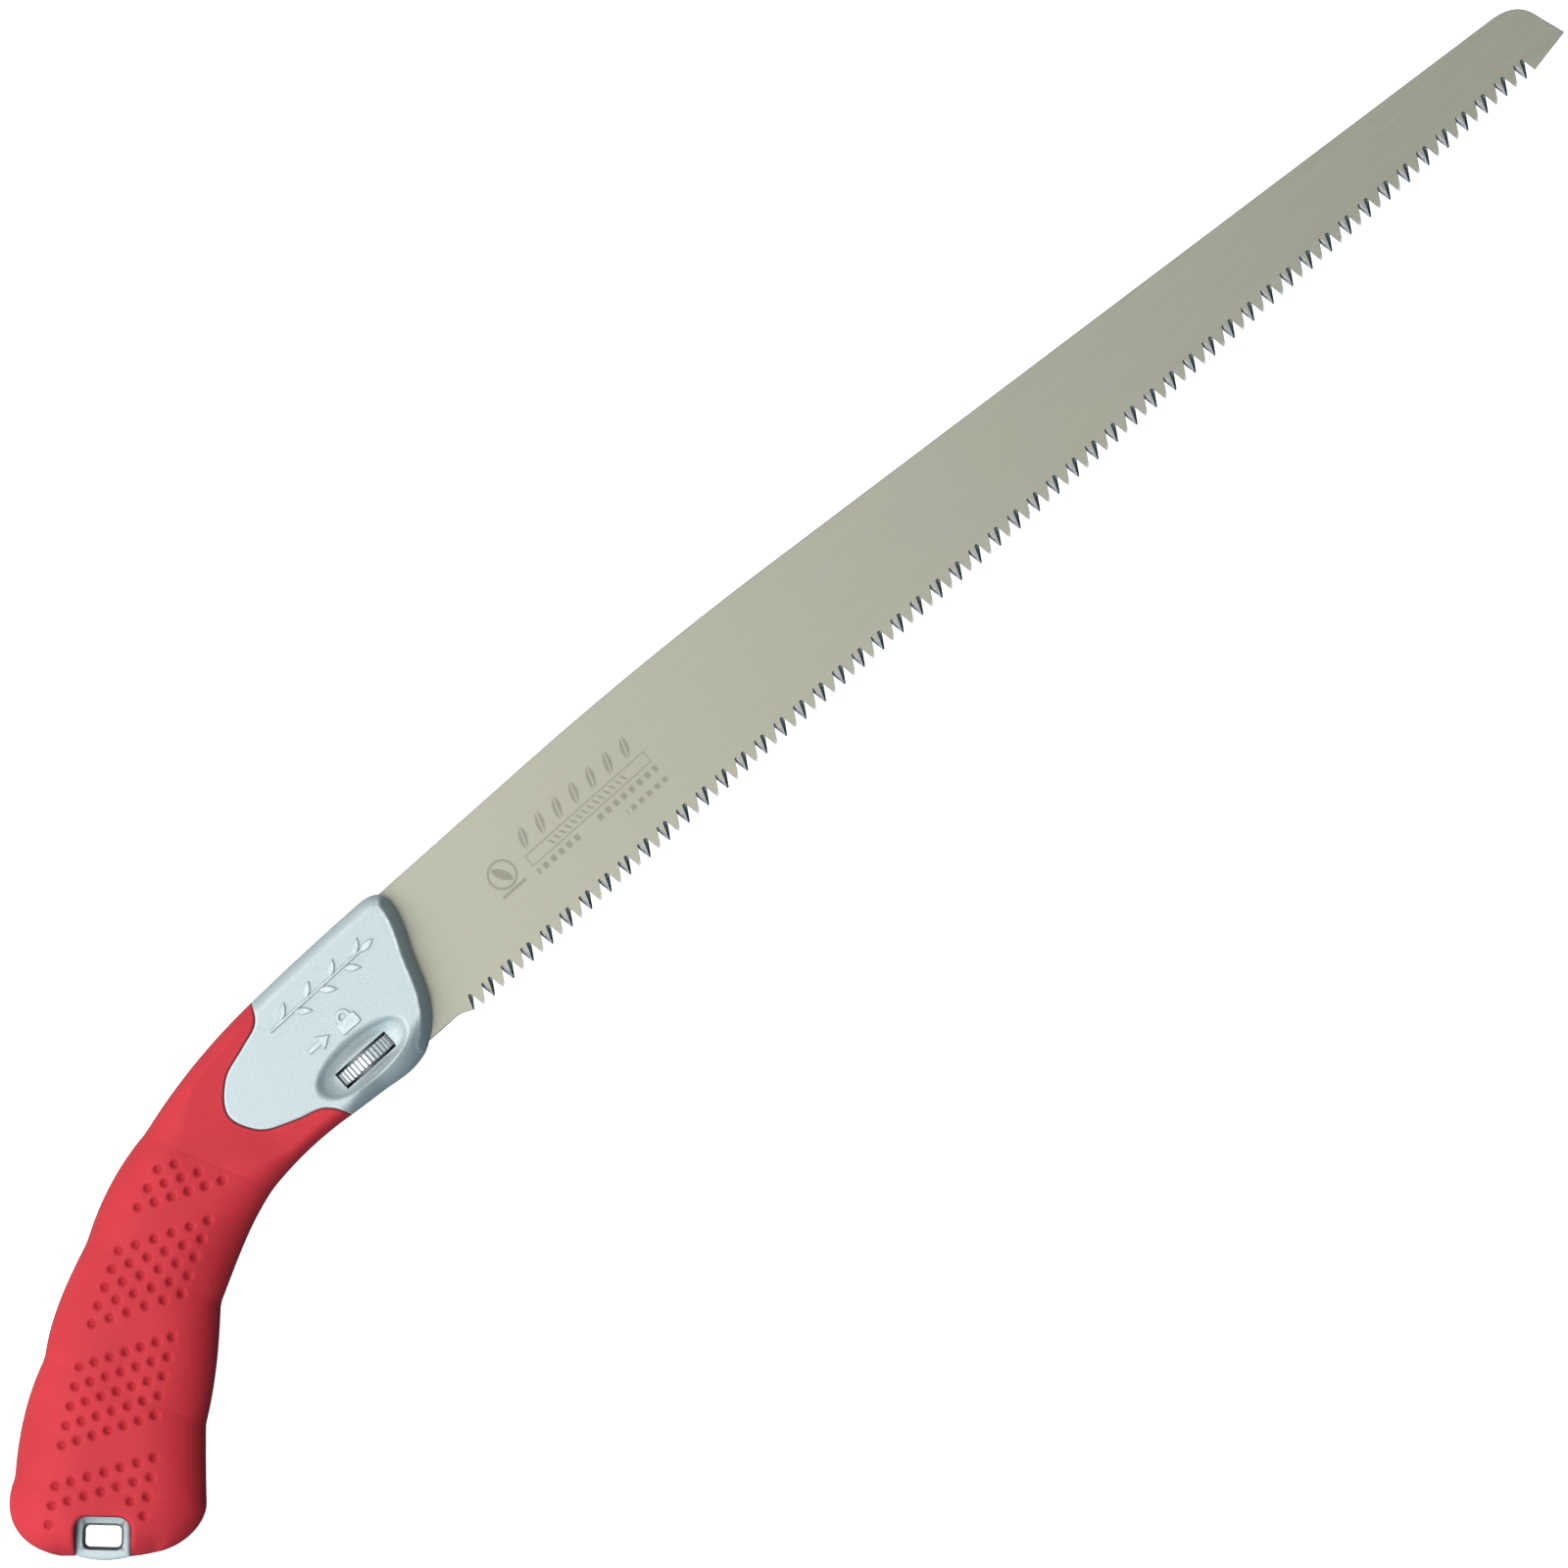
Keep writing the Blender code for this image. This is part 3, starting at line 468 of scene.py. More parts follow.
def grip_solid():
    s, c = grip_grid()
    back, belly, width = edges(s)
    across = c * (1 - GRIP_INSET * ease(s - 0.5) / width)
    plan = (back + belly) / 2 + across[..., None] * (back - belly) / 2
    butt = np.array(BACK_CORNER[-1]) - np.array(BELLY_CORNER[-1])
    outwards = np.array([butt[1], -butt[0]]) / -np.linalg.norm(butt)
    swell = BUTT_BULGE * (1 - c ** 2) * (1 - c) / 2 * ease((s - 4.2) / 0.8)
    plan = plan + swell[..., None] * outwards
    z = grip_heights(s, c, plan)
    rows, columns = s.shape
    z[:, 0] = z[:, -1] = z[-1] = 0
    z[:-1, 1:-1] = np.maximum(z[:-1, 1:-1], 0.02)
    top = np.arange(rows * columns).reshape(rows, columns)
    under = np.array(top)
    under[:-1, 1:-1] = rows * columns + np.arange((rows - 1) * (columns - 2)).reshape(rows - 1, -1)
    upper = np.concatenate([plan, z[..., None]], -1).reshape(-1, 3)
    lower = np.concatenate([plan, -z[..., None]], -1)[:-1, 1:-1].reshape(-1, 3)
    faces = []
    for sheet, turn in ((top, 1), (under, -1)):
        quads = np.stack([sheet[:-1, :-1], sheet[1:, :-1], sheet[1:, 1:], sheet[:-1, 1:]], -1)
        faces += quads.reshape(-1, 4)[:, ::turn].tolist()
    wall = np.stack([top[0, :-1], top[0, 1:], under[0, 1:], under[0, :-1]], -1).tolist()
    faces += [list(dict.fromkeys(face)) for face in wall]
    return np.concatenate([upper, lower]), faces


# ---- head surface ----

def head_parts():
    """The head's border, chin, front and top, each a fine line, counter-clockwise."""
    top = np.concatenate([curve(HEAD_TOP, 16), np.array(corner(*HEAD_NOSE, 24))[1:]])
    return curve(BORDER, 16), curve(HEAD_CHIN[::-1], 16), curve(HEAD_FRONT[::-1], 16), top[::-1]


def dish_share(points):
    """1 round the wheel's window, falling ever more steeply to 0 at the dish's oval rim."""
    low = np.abs(points - DISH_FLOOR_CENTRE) / DISH_FLOOR
    floor = (low ** 4).sum(-1) ** 0.25 - 1
    top = 1 - lengths((points - DISH_CENTRE) / DISH_TOP)
    share = np.where(floor <= 0, 1, np.where(top <= 0, 0, top / np.maximum(floor * 0.6 + top, 1e-6)))
    return (1 - (1 - share) ** 1.8) * ease(share / 0.4)


def head_heights(points):
    """Half the head's thickness over each point."""
    border, chin, front, top = head_parts()
    beside = along(BELLY_LINE, np.linspace(0, 1, 30)), along(BACK_LINE, np.linspace(0, 1, 30))
    above = np.min([distance_to(side, points) for side in (top, *beside)], axis=0)
    below = distance_to(np.concatenate([chin[:-1], front]), points)
    full = ease((points[..., 0] + 38) / 12)
    chin_edge = HEAD_EDGE + (CHIN_EDGE - HEAD_EDGE) * full
    rounded = HEAD_HALF * dome(below / chin_edge, 2.5 - 0.8 * full)
    t = below / FRONT_BEVEL
    bevel = FRONT_HALF + (HEAD_HALF - FRONT_HALF) * (0.5 * t + 0.5 * dome(t / 1.1, 1.7) + 0.02)
    at_chin = ease((9 - points[..., 1]) / 6)
    rim = soft_minimum(bevel, HEAD_HALF, SOFT) * (1 - at_chin) + rounded * at_chin
    z = soft_minimum(rim, HEAD_HALF * dome(above / HEAD_EDGE), SOFT)
    z = z * HEAD_HALF / (HEAD_HALF - SOFT / 4)
    z = z - DISH_DEPTH * dish_share(points) * ease(distance_to(chin, points) / 2)
    return np.maximum(z - np.minimum(rounding(distance_to(border, points), 0.45), z * 0.3), 0.25)


def head_solid(side):
    """One half of the head: rings that shrink to its middle, over a flat underside."""
    outline = np.concatenate([resample(part, 0.45)[:-1] for part in head_parts()])
    centre = np.array(HEAD_CENTRE)
    normal = np.roll(outline, -1, axis=0) - np.roll(outline, 1, axis=0)
    normal = np.stack([normal[:, 1], -normal[:, 0]], axis=1)
    inward = centre - outline
    length = lengths(inward)
    slant = -(normal * inward).sum(1) / lengths(normal) / length
    slant = averaged(np.maximum(slant, 0.35), 6, "wrap")
    depths = [0, 0.04, 0.12, 0.25, 0.45, 0.7, 1.0, 1.3, 1.6, 1.9, 2.2, *np.arange(2.4, 5.3, 0.2)]
    shares = [depth / slant / length for depth in depths]
    shares += [shares[-1] + (1 - shares[-1]) * q for q in np.linspace(0, 1, 56)[1:-1]]
    rings = np.array([outline + inward * share[:, None] for share in shares])
    heights = head_heights(rings)
    count = len(outline)
    points = np.concatenate([rings, heights[..., None]], -1).reshape(-1, 3)
    points = np.concatenate([points, [[*centre, float(head_heights(centre[None])[0])]],
                             np.concatenate([outline, np.full((count, 1), -1.0)], 1)])
    index = np.arange(len(rings) * count).reshape(len(rings), count)
    around = np.roll(index, -1, axis=1)
    faces = np.stack([index[:-1], around[:-1], around[1:], index[1:]], -1).reshape(-1, 4).tolist()
    middle = len(rings) * count
    faces += [[int(a), int(b), middle] for a, b in zip(index[-1], around[-1])]
    under = middle + 1 + np.arange(count)
    faces += np.stack([index[0], under, np.roll(under, -1), around[0]], -1).tolist()
    faces.append(under[::-1].tolist())
    return points * (1, 1, side), faces


def grown(outline, distance):
    """A closed counter-clockwise outline moved outwards by the distance."""
    line = np.array([outline[-1], *outline, outline[0]], float)
    return mitred(line, -distance)[1:-1]


def leaf(x, y, length, width, turn, steps=7):
    """A lens with pointed ends, its outline about a middle point."""
    t = np.linspace(0, 1, steps + 1)
    bow = width / 2 * np.sin(math.pi * t) ** 0.85 * (1 - 0.2 * (t - 0.5))
    line = np.concatenate([np.stack([(t - 0.5) * length, -bow], 1),
                           np.stack([(0.5 - t) * length, bow[::-1]], 1)[1:-1]])
    cos, sin = math.cos(math.radians(turn)), math.sin(math.radians(turn))
    return [(x + cos * a - sin * b, y + sin * a + cos * b) for a, b in line]


def head_marks():
    """Plain raised marks: a twig with leaves, an arrow towards the blade and a padlock."""
    bars = [[(-38.4, 28.05), (-10.5, 28.35), (-10.5, 28.6), (-38.4, 28.45)]]
    for i in range(7):
        x, side = -34.9 + 3.75 * i, 1 - 2 * (i % 2)
        bars.append(leaf(x + 1.4, 28.35 + side * 1.5, 3.7, 1.25, side * 38))
    bars.append(leaf(-9.0, 28.5, 3.8, 1.35, 3))
    arrow = [(-35, 18.35), (-31.6, 18.35), (-31.6, 17.2), (-29.2, 18.75), (-31.6, 20.3),
             (-31.6, 19.15), (-35, 19.15)]
    body = rounded_box(-26.4, -21.2, 16.5, 19.2, 0.5, 3)
    outer, inner = arc((-23.8, 19.7), 1.7, 0, 180, 10), arc((-23.8, 19.7), 1.05, 180, 0, 10)
    shackle = [(-22.1, 18.9), *outer, (-25.5, 18.9), (-24.85, 18.9), *inner, (-22.75, 18.9)]
    return [*bars, arrow, body, shackle]


# ---- Blender objects ----

def placed(name, data):
    """A new object in the scene holding the data."""
    obj = bpy.data.objects.new(name, data)
    bpy.context.scene.collection.objects.link(obj)
    return obj


def body_mesh(name, solid):
    """An object at the saw frame's origin holding the solid, its faces outwards."""
    points, faces = solid
    mesh = bpy.data.meshes.new(name)
    mesh.from_pydata((np.array(points, float) * MM).tolist(), [], faces)
    shape = bmesh.new()
    shape.from_mesh(mesh)
    bmesh.ops.recalc_face_normals(shape, faces=shape.faces)
    shape.to_mesh(mesh)
    shape.free()
    obj = placed(name, mesh)
    obj.location = ORIGIN * MM
    return obj


def carve(obj, cuts, added=()):
    """Joins the added solids to the mesh and then makes the cuts, one after another."""
    steps = [("UNION", solid) for solid in added] + [("DIFFERENCE", solid) for solid in cuts]
    for operation, solid in steps:
        tool = body_mesh("tool", solid)
        step = obj.modifiers.new("step", "BOOLEAN")
        step.operation, step.solver, step.object = operation, "MANIFOLD", tool
        bpy.context.view_layer.update()
        made = bpy.data.meshes.new_from_object(obj.evaluated_get(bpy.context.evaluated_depsgraph_get()))
        obj.modifiers.clear()
        spent, obj.data = (obj.data, tool.data), made
        bpy.data.objects.remove(tool)
        for mesh in spent:
            bpy.data.meshes.remove(mesh)
    obj.data.name = obj.name
    return obj


def finish(obj, material, slot, body, *nodes, smooth=30):
    obj.data.materials.clear()
    obj.data.materials.append(material)
    if smooth:
        obj.data.shade_smooth()
        obj.data.set_sharp_from_angle(angle=math.radians(smooth))
    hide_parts(*nodes)
    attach(obj, body)
    return obj


# ---- blade ----

def blade_back_outline():
    """From the last gullet round the tip, the back, the tang and the heel to the first tooth."""
    back, shoulder = BLADE_BACK_Y, SHOULDER_X
    line = [(326.2, 0.5), (TIP_X, 2.5), *corner((334.6, 10.2), (333.2, 15), (327, 15.8), 10)]
    line += corner((119, 32.5), (82, back), (45, back), 24)
    line += corner((shoulder + 1, back), (shoulder, back), (shoulder, back - 1))
    line += corner((shoulder, TANG_HIGH + 1), (shoulder, TANG_HIGH), (shoulder - 1, TANG_HIGH))
    line += [(TANG_END + 1, TANG_HIGH), (TANG_END, TANG_HIGH - 1), (TANG_END, FORK_Y + FORK_HALF)]
    line += arc((FORK_X, FORK_Y), FORK_HALF, 90, -90, 16)
    line += [(TANG_END, FORK_Y - FORK_HALF), (TANG_END, TANG_LOW + 1), (TANG_END + 1, TANG_LOW),
             (LOCK_X - NOTCH_HALF, TANG_LOW), (LOCK_X - NOTCH_HALF, TANG_LOW + NOTCH_DEPTH),
             (LOCK_X + NOTCH_HALF, TANG_LOW + NOTCH_DEPTH), (LOCK_X + NOTCH_HALF, TANG_LOW)]
    line += corner((ROOT_END_X - 1, TANG_LOW), (ROOT_END_X, TANG_LOW), (ROOT_END_X, TANG_LOW - 1))
    line += [(ROOT_END_X, BLADE_HEEL_Y + 1), (ROOT_END_X + 1, BLADE_HEEL_Y)]
    return line + corner((-4, BLADE_HEEL_Y), (-2.6, 2.3), (-1, 1.2), 5)


def mitred(line, distance):
    """The open line moved to its left, except at its two ends."""
    line = np.array(line, float)
    left = left_of(np.diff(line, axis=0))
    both = left[:-1] + left[1:]
    moved = line.copy()
    moved[1:-1] += distance * both / (1 + (left[:-1] * left[1:]).sum(1))[:, None]
    return moved


def blade_solid():
    """The blade with its ground teeth; the third result numbers each face's finish."""
    points, faces, finishes = [], [], []

    def put(x, y, z):
        points.append((x, y, z))
        return len(points) - 1

    def face(corners, finish=PLATE):
        faces.append(corners)
        finishes.append(finish)

    places = [FIRST_GULLET_X + j * TOOTH_PITCH for j in range(LAST_GULLET + 1)]
    gullet = {side: [put(x, GULLET_Y, side * BLADE_HALF) for x in places] for side in (1, 0, -1)}
    root = {side: [put(x, TOOTH_ROOT_Y, side * BLADE_HALF) for x in places] for side in (1, -1)}
    middle = gullet[0]
    (tip_x, tip_y), flank_top = TOOTH_TIP, GULLET_Y - LAND_TOP_Y
    for j, x in enumerate(places[:-1]):
        side = 1 if j % 2 else -1
        end_x, end_y = TOOTH_END[side]
        flank = (TOOTH_PITCH - end_x) / (GULLET_Y - end_y)
        la, lb, peak, rb, ra = (put(x + dx, y, side * BLADE_HALF) for dx, y in BEVEL_CORNERS)
        tip, tip_far = (put(x + tip_x, tip_y, -side * z) for z in (EDGE_Z, EDGE_BACK_Z))
        end, end_far = (put(x + end_x, end_y, -side * z) for z in (EDGE_Z, EDGE_BACK_Z))
        tip_up = put(x + tip_x * flank_top / (GULLET_Y - tip_y), LAND_TOP_Y, -side * BLADE_HALF)
        end_up = put(x + end_x + LAND_RISE * flank, end_y + LAND_RISE, -side * BLADE_HALF)
        a, b, c, d = gullet[side][j], gullet[side][j + 1], gullet[-side][j], gullet[-side][j + 1]
        m, n = middle[j], middle[j + 1]
        for three in ((m, a, la), (m, la, lb), (m, lb, peak), (m, peak, tip), (tip, peak, end),
                      (end, peak, n), (peak, rb, n), (rb, ra, n), (ra, b, n)):
            face(three, BEVEL)
        face([tip_up, end_up, end_far, tip_far], LAND)
        face([m, tip, tip_far, tip_up, c])
        face([tip, end, end_far, tip_far])
        face([end, n, d, end_up, end_far])
        face([root[side][j], a, la, lb, peak, rb, ra, b, root[side][j + 1]])
        face([root[-side][j], c, tip_up, end_up, d, root[-side][j + 1]])

    x = FIRST_GULLET_X
    heel, rb, ra = (put(x, y, BLADE_HALF) for x, y in
                    ((-0.45, 0.994), (x - 0.85, BEVEL_Y), (x - 0.2, BEVEL_Y)))
    edge, edge_far = put(-0.2, 0.9, -0.45), put(-0.2, 0.9, -BLADE_HALF)
    for three in ((edge, heel, middle[0]), (heel, rb, middle[0]), (rb, ra, middle[0]),
                  (ra, gullet[1][0], middle[0])):
        face(three, BEVEL)
    face([edge, middle[0], gullet[-1][0], edge_far])

    outer = blade_back_outline()
    inner = mitred(outer, BLADE_CHAMFER)
    levels = [[put(px, py, z) for px, py in line] for line, z in (
        (inner, BLADE_HALF), (outer, BLADE_HALF - BLADE_CHAMFER),
        (outer, BLADE_CHAMFER - BLADE_HALF), (inner, -BLADE_HALF))]
    for upper, lower in zip(levels, levels[1:]):
        for i in range(len(outer) - 1):
            face([upper[i], upper[i + 1], lower[i + 1], lower[i]])
    near, mid_up, mid_down, far = levels
    face([gullet[1][-1], middle[-1], gullet[-1][-1], far[0], mid_down[0], mid_up[0], near[0]])
    face([near[-1], heel, edge, edge_far, far[-1], mid_down[-1], mid_up[-1]])
    face([heel, rb, ra, gullet[1][0], *root[1], gullet[1][-1], *near])
    face([edge_far, gullet[-1][0], *root[-1], gullet[-1][-1], *far])
    return points, faces, finishes


# ---- lock wheel and screws ----

def wheel_solid():
    ridge, chamfer = [], 0.35
    for i in range(KNURLS):
        for share, depth in ((0, 0), (0.6, 0), (0.7, KNURL_DEPTH), (0.9, KNURL_DEPTH)):
            ridge.append((2 * math.pi * (i + share) / KNURLS, WHEEL_RADIUS - depth))
    levels = [(WHEEL_LOW, chamfer), (WHEEL_LOW + chamfer, 0),
              (WHEEL_HIGH - chamfer, 0), (WHEEL_HIGH, chamfer)]
    return loft([[(LOCK_X + (r - inset) * math.cos(a), y, -(r - inset) * math.sin(a)) for a, r in ridge]
                 for y, inset in levels])


def screw_solid(x, y, head):
    """A countersunk screw whose head faces the far side."""
    shank = [(SCREW_SHANK - 0.45, SCREW_BITE - CLEARANCE), (SCREW_SHANK, SCREW_BITE - 0.9)]
    z = SCREW_BITE - 1.3
    while z > SCREW_CONE - head + 1.2:
        shank += [(SCREW_SHANK - 0.22, z), (SCREW_SHANK, z - 0.35)]
        z -= 0.7
    return stacked((x, y), [*shank, (SCREW_SHANK, SCREW_CONE - head), (SCREW_HEAD, 0.35 - head),
                            (SCREW_HEAD - 0.12, 0.08 - head), (SCREW_HEAD - 0.3, -head)], 40)


def screw_socket(x, y, head):
    radius = HEX_ACROSS / math.sqrt(3)
    levels = [(radius + 0.3, -head - 0.3), (radius, -head + 0.02), (radius, HEX_DEPTH - head)]
    return loft([[(px, py, z) for px, py in arc((x, y), r, 0, 360, 6)[:-1]] for r, z in levels])


def inner_cuts():
    """Every space inside the two castings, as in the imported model."""
    stud, washer = STUD_RADIUS + CLEARANCE, WASHER_RADIUS + CLEARANCE
    steps = [(stud, STUD_LOW - 0.4, WASHER_LOW), (washer, WASHER_LOW, CAVITY_LOW),
             (CAVITY_RADIUS, CAVITY_LOW, CAVITY_HIGH), (washer, CAVITY_HIGH, WASHER_HIGH),
             (stud, WASHER_HIGH, STUD_HIGH + STUD_TRAVEL + 0.5)]
    bore = turned([(radius, y) for radius, *ends in steps for y in ends], 96)
    half, low, high = KEY_PLATE
    key = box((LOCK_X - half - CLEARANCE, low - CLEARANCE, -half - CLEARANCE),
              (LOCK_X + half + CLEARANCE, high + CLEARANCE, half + CLEARANCE))
    cuts = [prism(pocket_outline(), -POCKET_HALF, POCKET_HALF), bore, lug_hole(), key]
    for x, y, radius, reach in (TANG_PIN, STOP_PIN, BUTT_DOWEL):
        reach += CLEARANCE
        cuts.append(stacked((x, y), [(radius + CLEARANCE, -reach), (radius + CLEARANCE, reach)]))
    cuts += [core(np.linspace(start, end, 5), wall=HOLLOW_WALL) for start, end in HOLLOWS]
    for x, y, head in SCREWS:
        radii = [(SCREW_SHANK, SCREW_BITE), (SCREW_SHANK, SCREW_CONE - head),
                 (SCREW_HEAD, -head), (SCREW_HEAD, -THROUGH)]
        cuts.append(stacked((x, y), [(radius + CLEARANCE, z) for radius, z in radii]))
    return cuts


# ---- materials ----

class Finish:
    """A node material being made; each method adds nodes and gives back its result."""

    def __init__(self, name, **fixed):
        self.material = bpy.data.materials.new(name)
        self.material.use_nodes = True
        self.tree = self.material.node_tree
        self.shader = self.tree.nodes["Principled BSDF"]
        for socket, value in fixed.items():
            self.shader.inputs[socket.replace("_", " ")].default_value = value
        where = self.tree.nodes.new("ShaderNodeTexCoord").outputs["Object"]
        self.place = self.vector("MULTIPLY", where, (1 / MM, 1 / MM, 1 / MM))

    def wire(self, socket, value):
        if isinstance(value, bpy.types.NodeSocket):
            self.tree.links.new(value, socket)
        elif value is not None:
            socket.default_value = value

    def node(self, kind, *values, **settings):
        """A new node with these settings, and the values in its first inputs."""
        node = self.tree.nodes.new("ShaderNode" + kind)
        for name, value in settings.items():
            setattr(node, name, value)
        for socket, value in zip(node.inputs, values):
            self.wire(socket, value)
        return node

    def vector(self, operation, a, b):
        return self.node("VectorMath", a, b, operation=operation).outputs[0]

    def math(self, operation, a, b=None):
        return self.node("Math", a, b, operation=operation).outputs[0]

    def plus(self, a, b):
        return self.math("ADD", a, b)

    def minus(self, a, b):
        return self.math("SUBTRACT", a, b)

    def times(self, a, b):
        return self.math("MULTIPLY", a, b)

    def most(self, a, b):
        return self.math("MAXIMUM", a, b)

    def size(self, a):
        return self.math("ABSOLUTE", a)

    def axes(self):
        return self.node("SeparateXYZ", self.place).outputs

    def length(self, a, b):
        """The length of the line with these two components."""
        return self.math("SQRT", self.plus(self.math("POWER", a, 2), self.math("POWER", b, 2)))

    def from_lock_axis(self):
        x, _, z = self.axes()
        return self.length(self.minus(x, LOCK_X), z)

    def noise(self, size, detail=2.0, stretch=(1, 1, 1)):
        """Noise from 0 to 1 with features of about this size in millimetres."""
        node = self.node("TexNoise", self.vector("MULTIPLY", self.place, stretch))
        node.inputs["Scale"].default_value, node.inputs["Detail"].default_value = 1 / size, detail
        return node.outputs["Fac"]

    def attribute(self, name):
        return self.node("Attribute", attribute_name=name).outputs["Fac"]

    def between(self, value, low, high, start=0.0, end=1.0):
        """Goes smoothly from start to end as the value goes from low to high."""
        return self.node("MapRange", value, low, high, start, end,
                         interpolation_type="SMOOTHSTEP").outputs[0]

    def mottled(self, noise, a, b):
        """Two colours that follow a noise."""
        return self.mix(self.between(noise, 0.3, 0.7), a, b)

    def mix(self, factor, a, b):
        node = self.node("Mix", factor, data_type="RGBA")
        for socket, value in ((node.inputs[6], a), (node.inputs[7], b)):
            self.wire(socket, (*value, 1) if isinstance(value, tuple) else value)
        return node.outputs[2]

    def bump(self, height, distance, strength=1.0, under=None):
        node = self.node("Bump", strength, distance * MM)
        self.wire(node.inputs["Height"], height)
        self.wire(node.inputs["Normal"], under)
        return node.outputs[0]

    def done(self, colour, roughness=None, normal=None):
        for name, value in (("Base Color", colour), ("Roughness", roughness), ("Normal", normal)):
            self.wire(self.shader.inputs[name], value)
        return self.material


def casting_finish():
    """Silver satin coat on die-cast aluminium, with a painted highlight along the front ridge and the
    border lip, and painted shade in the lock cavity and the lanyard hole.
    """
    f = Finish("silver_satin_casting", Metallic=0.3, Specular_IOR_Level=0.5)
    speckle, mottle, cloud = f.noise(0.35, 3), f.noise(0.9, 4), f.noise(14, 3)
    colour = f.mottled(speckle, (0.32, 0.375, 0.38), (0.445, 0.50, 0.505))
    colour = f.mix(f.between(mottle, 0.35, 0.65, 0, 0.28), colour, (0.32, 0.375, 0.385))
    colour = f.mix(f.between(cloud, 0.25, 0.75, 0, 0.3), colour, (0.38, 0.445, 0.46))
    # Painted highlight along the front ridge and the border lip, and brighter mark tops; on the grip,
    # paler near its joints
    worn_and_highlit = f.times(f.attribute("wear_and_highlight"), f.between(f.noise(1.6, 4), 0.35, 0.7, 0.3, 0.85))
    colour = f.mix(worn_and_highlit, colour, (0.70, 0.75, 0.76))
    # Painted shade: the lock wheel's cavity and the lanyard hole's walls are darkened to near black
    middle, half, over = (CAVITY_HIGH + CAVITY_LOW) / 2, (CAVITY_HIGH - CAVITY_LOW) / 2, 0.2
    level = f.math("LESS_THAN", f.size(f.minus(f.axes()[1], middle)), half + over)
    cavity = f.times(f.math("LESS_THAN", f.from_lock_axis(), CAVITY_RADIUS + over), level)
    dark = f.most(cavity, f.times(f.attribute("recess_shade"), 0.6))
    colour = f.mix(dark, colour, (0.012, 0.018, 0.03))
    rough = f.between(speckle, 0.2, 0.8, 0.44, 0.54)
    return f.done(colour, rough, f.bump(mottle, 0.03, 0.5, f.bump(speckle, 0.03, 0.6)))


def rubber_finish():
    """Matte red elastomer with a fine moulded grain, paler near its joints, with painted shade in the
    dimples and a thin painted shade line along the joints.
    """
    f = Finish("red_moulded_elastomer", Specular_IOR_Level=0.22)
    grain, cloud = f.noise(0.45, 3), f.noise(18, 3)
    colour = f.mottled(cloud, (0.385, 0.017, 0.026), (0.44, 0.021, 0.031))
    colour = f.mix(f.between(grain, 0.3, 0.7, 0, 0.16), colour, (0.50, 0.035, 0.048))
    worn_and_highlit = f.times(f.attribute("wear_and_highlight"), f.between(f.noise(2.5, 3), 0.35, 0.7, 0.1, 0.5))
    colour = f.mix(worn_and_highlit, colour, (0.52, 0.045, 0.06))
    # Painted shade darkens the dimples
    colour = f.mix(f.times(f.attribute("recess_shade"), 0.6), colour, (0.28, 0.002, 0.008))
    # Painted shade: a dark line along the joints with the head and the lug
    colour = f.mix(f.times(f.attribute("joint_shade"), 0.8), colour, (0.04, 0.004, 0.014))
    return f.done(colour, f.between(grain, 0.2, 0.8, 0.6, 0.72), f.bump(grain, 0.035, 0.5))


def blade_finish():
    """Fine-ground steel with a pale warm coat, lightly scratched, and a plain etched mark."""
    f = Finish("pale_ground_steel", Metallic=0.75)
    x, y, z = f.axes()
    lines = f.noise(0.5, 3, (0.03, 1, 1))
    cloud = f.noise(30, 3)
    colour = f.mottled(lines, (0.285, 0.275, 0.215), (0.305, 0.295, 0.232))
    colour = f.mix(f.between(cloud, 0.3, 0.7, 0, 0.35), colour, (0.285, 0.285, 0.235))
    scratch = f.between(f.noise(1.1, 2, (0.015, 1, 1)), 0.70, 0.76, 0, 0.12)
    colour = f.mix(scratch, colour, (0.42, 0.41, 0.35))
    etched = f.times(etched_mark(f, x, y), f.math("GREATER_THAN", z, 0.5))
    colour = f.mix(f.times(etched, 0.34), colour, (0.10, 0.092, 0.066))
    rough = f.plus(f.between(lines, 0.2, 0.8, 0.40, 0.50), f.times(etched, 0.12))
    return f.done(colour, rough, f.bump(lines, 0.006, 0.4))


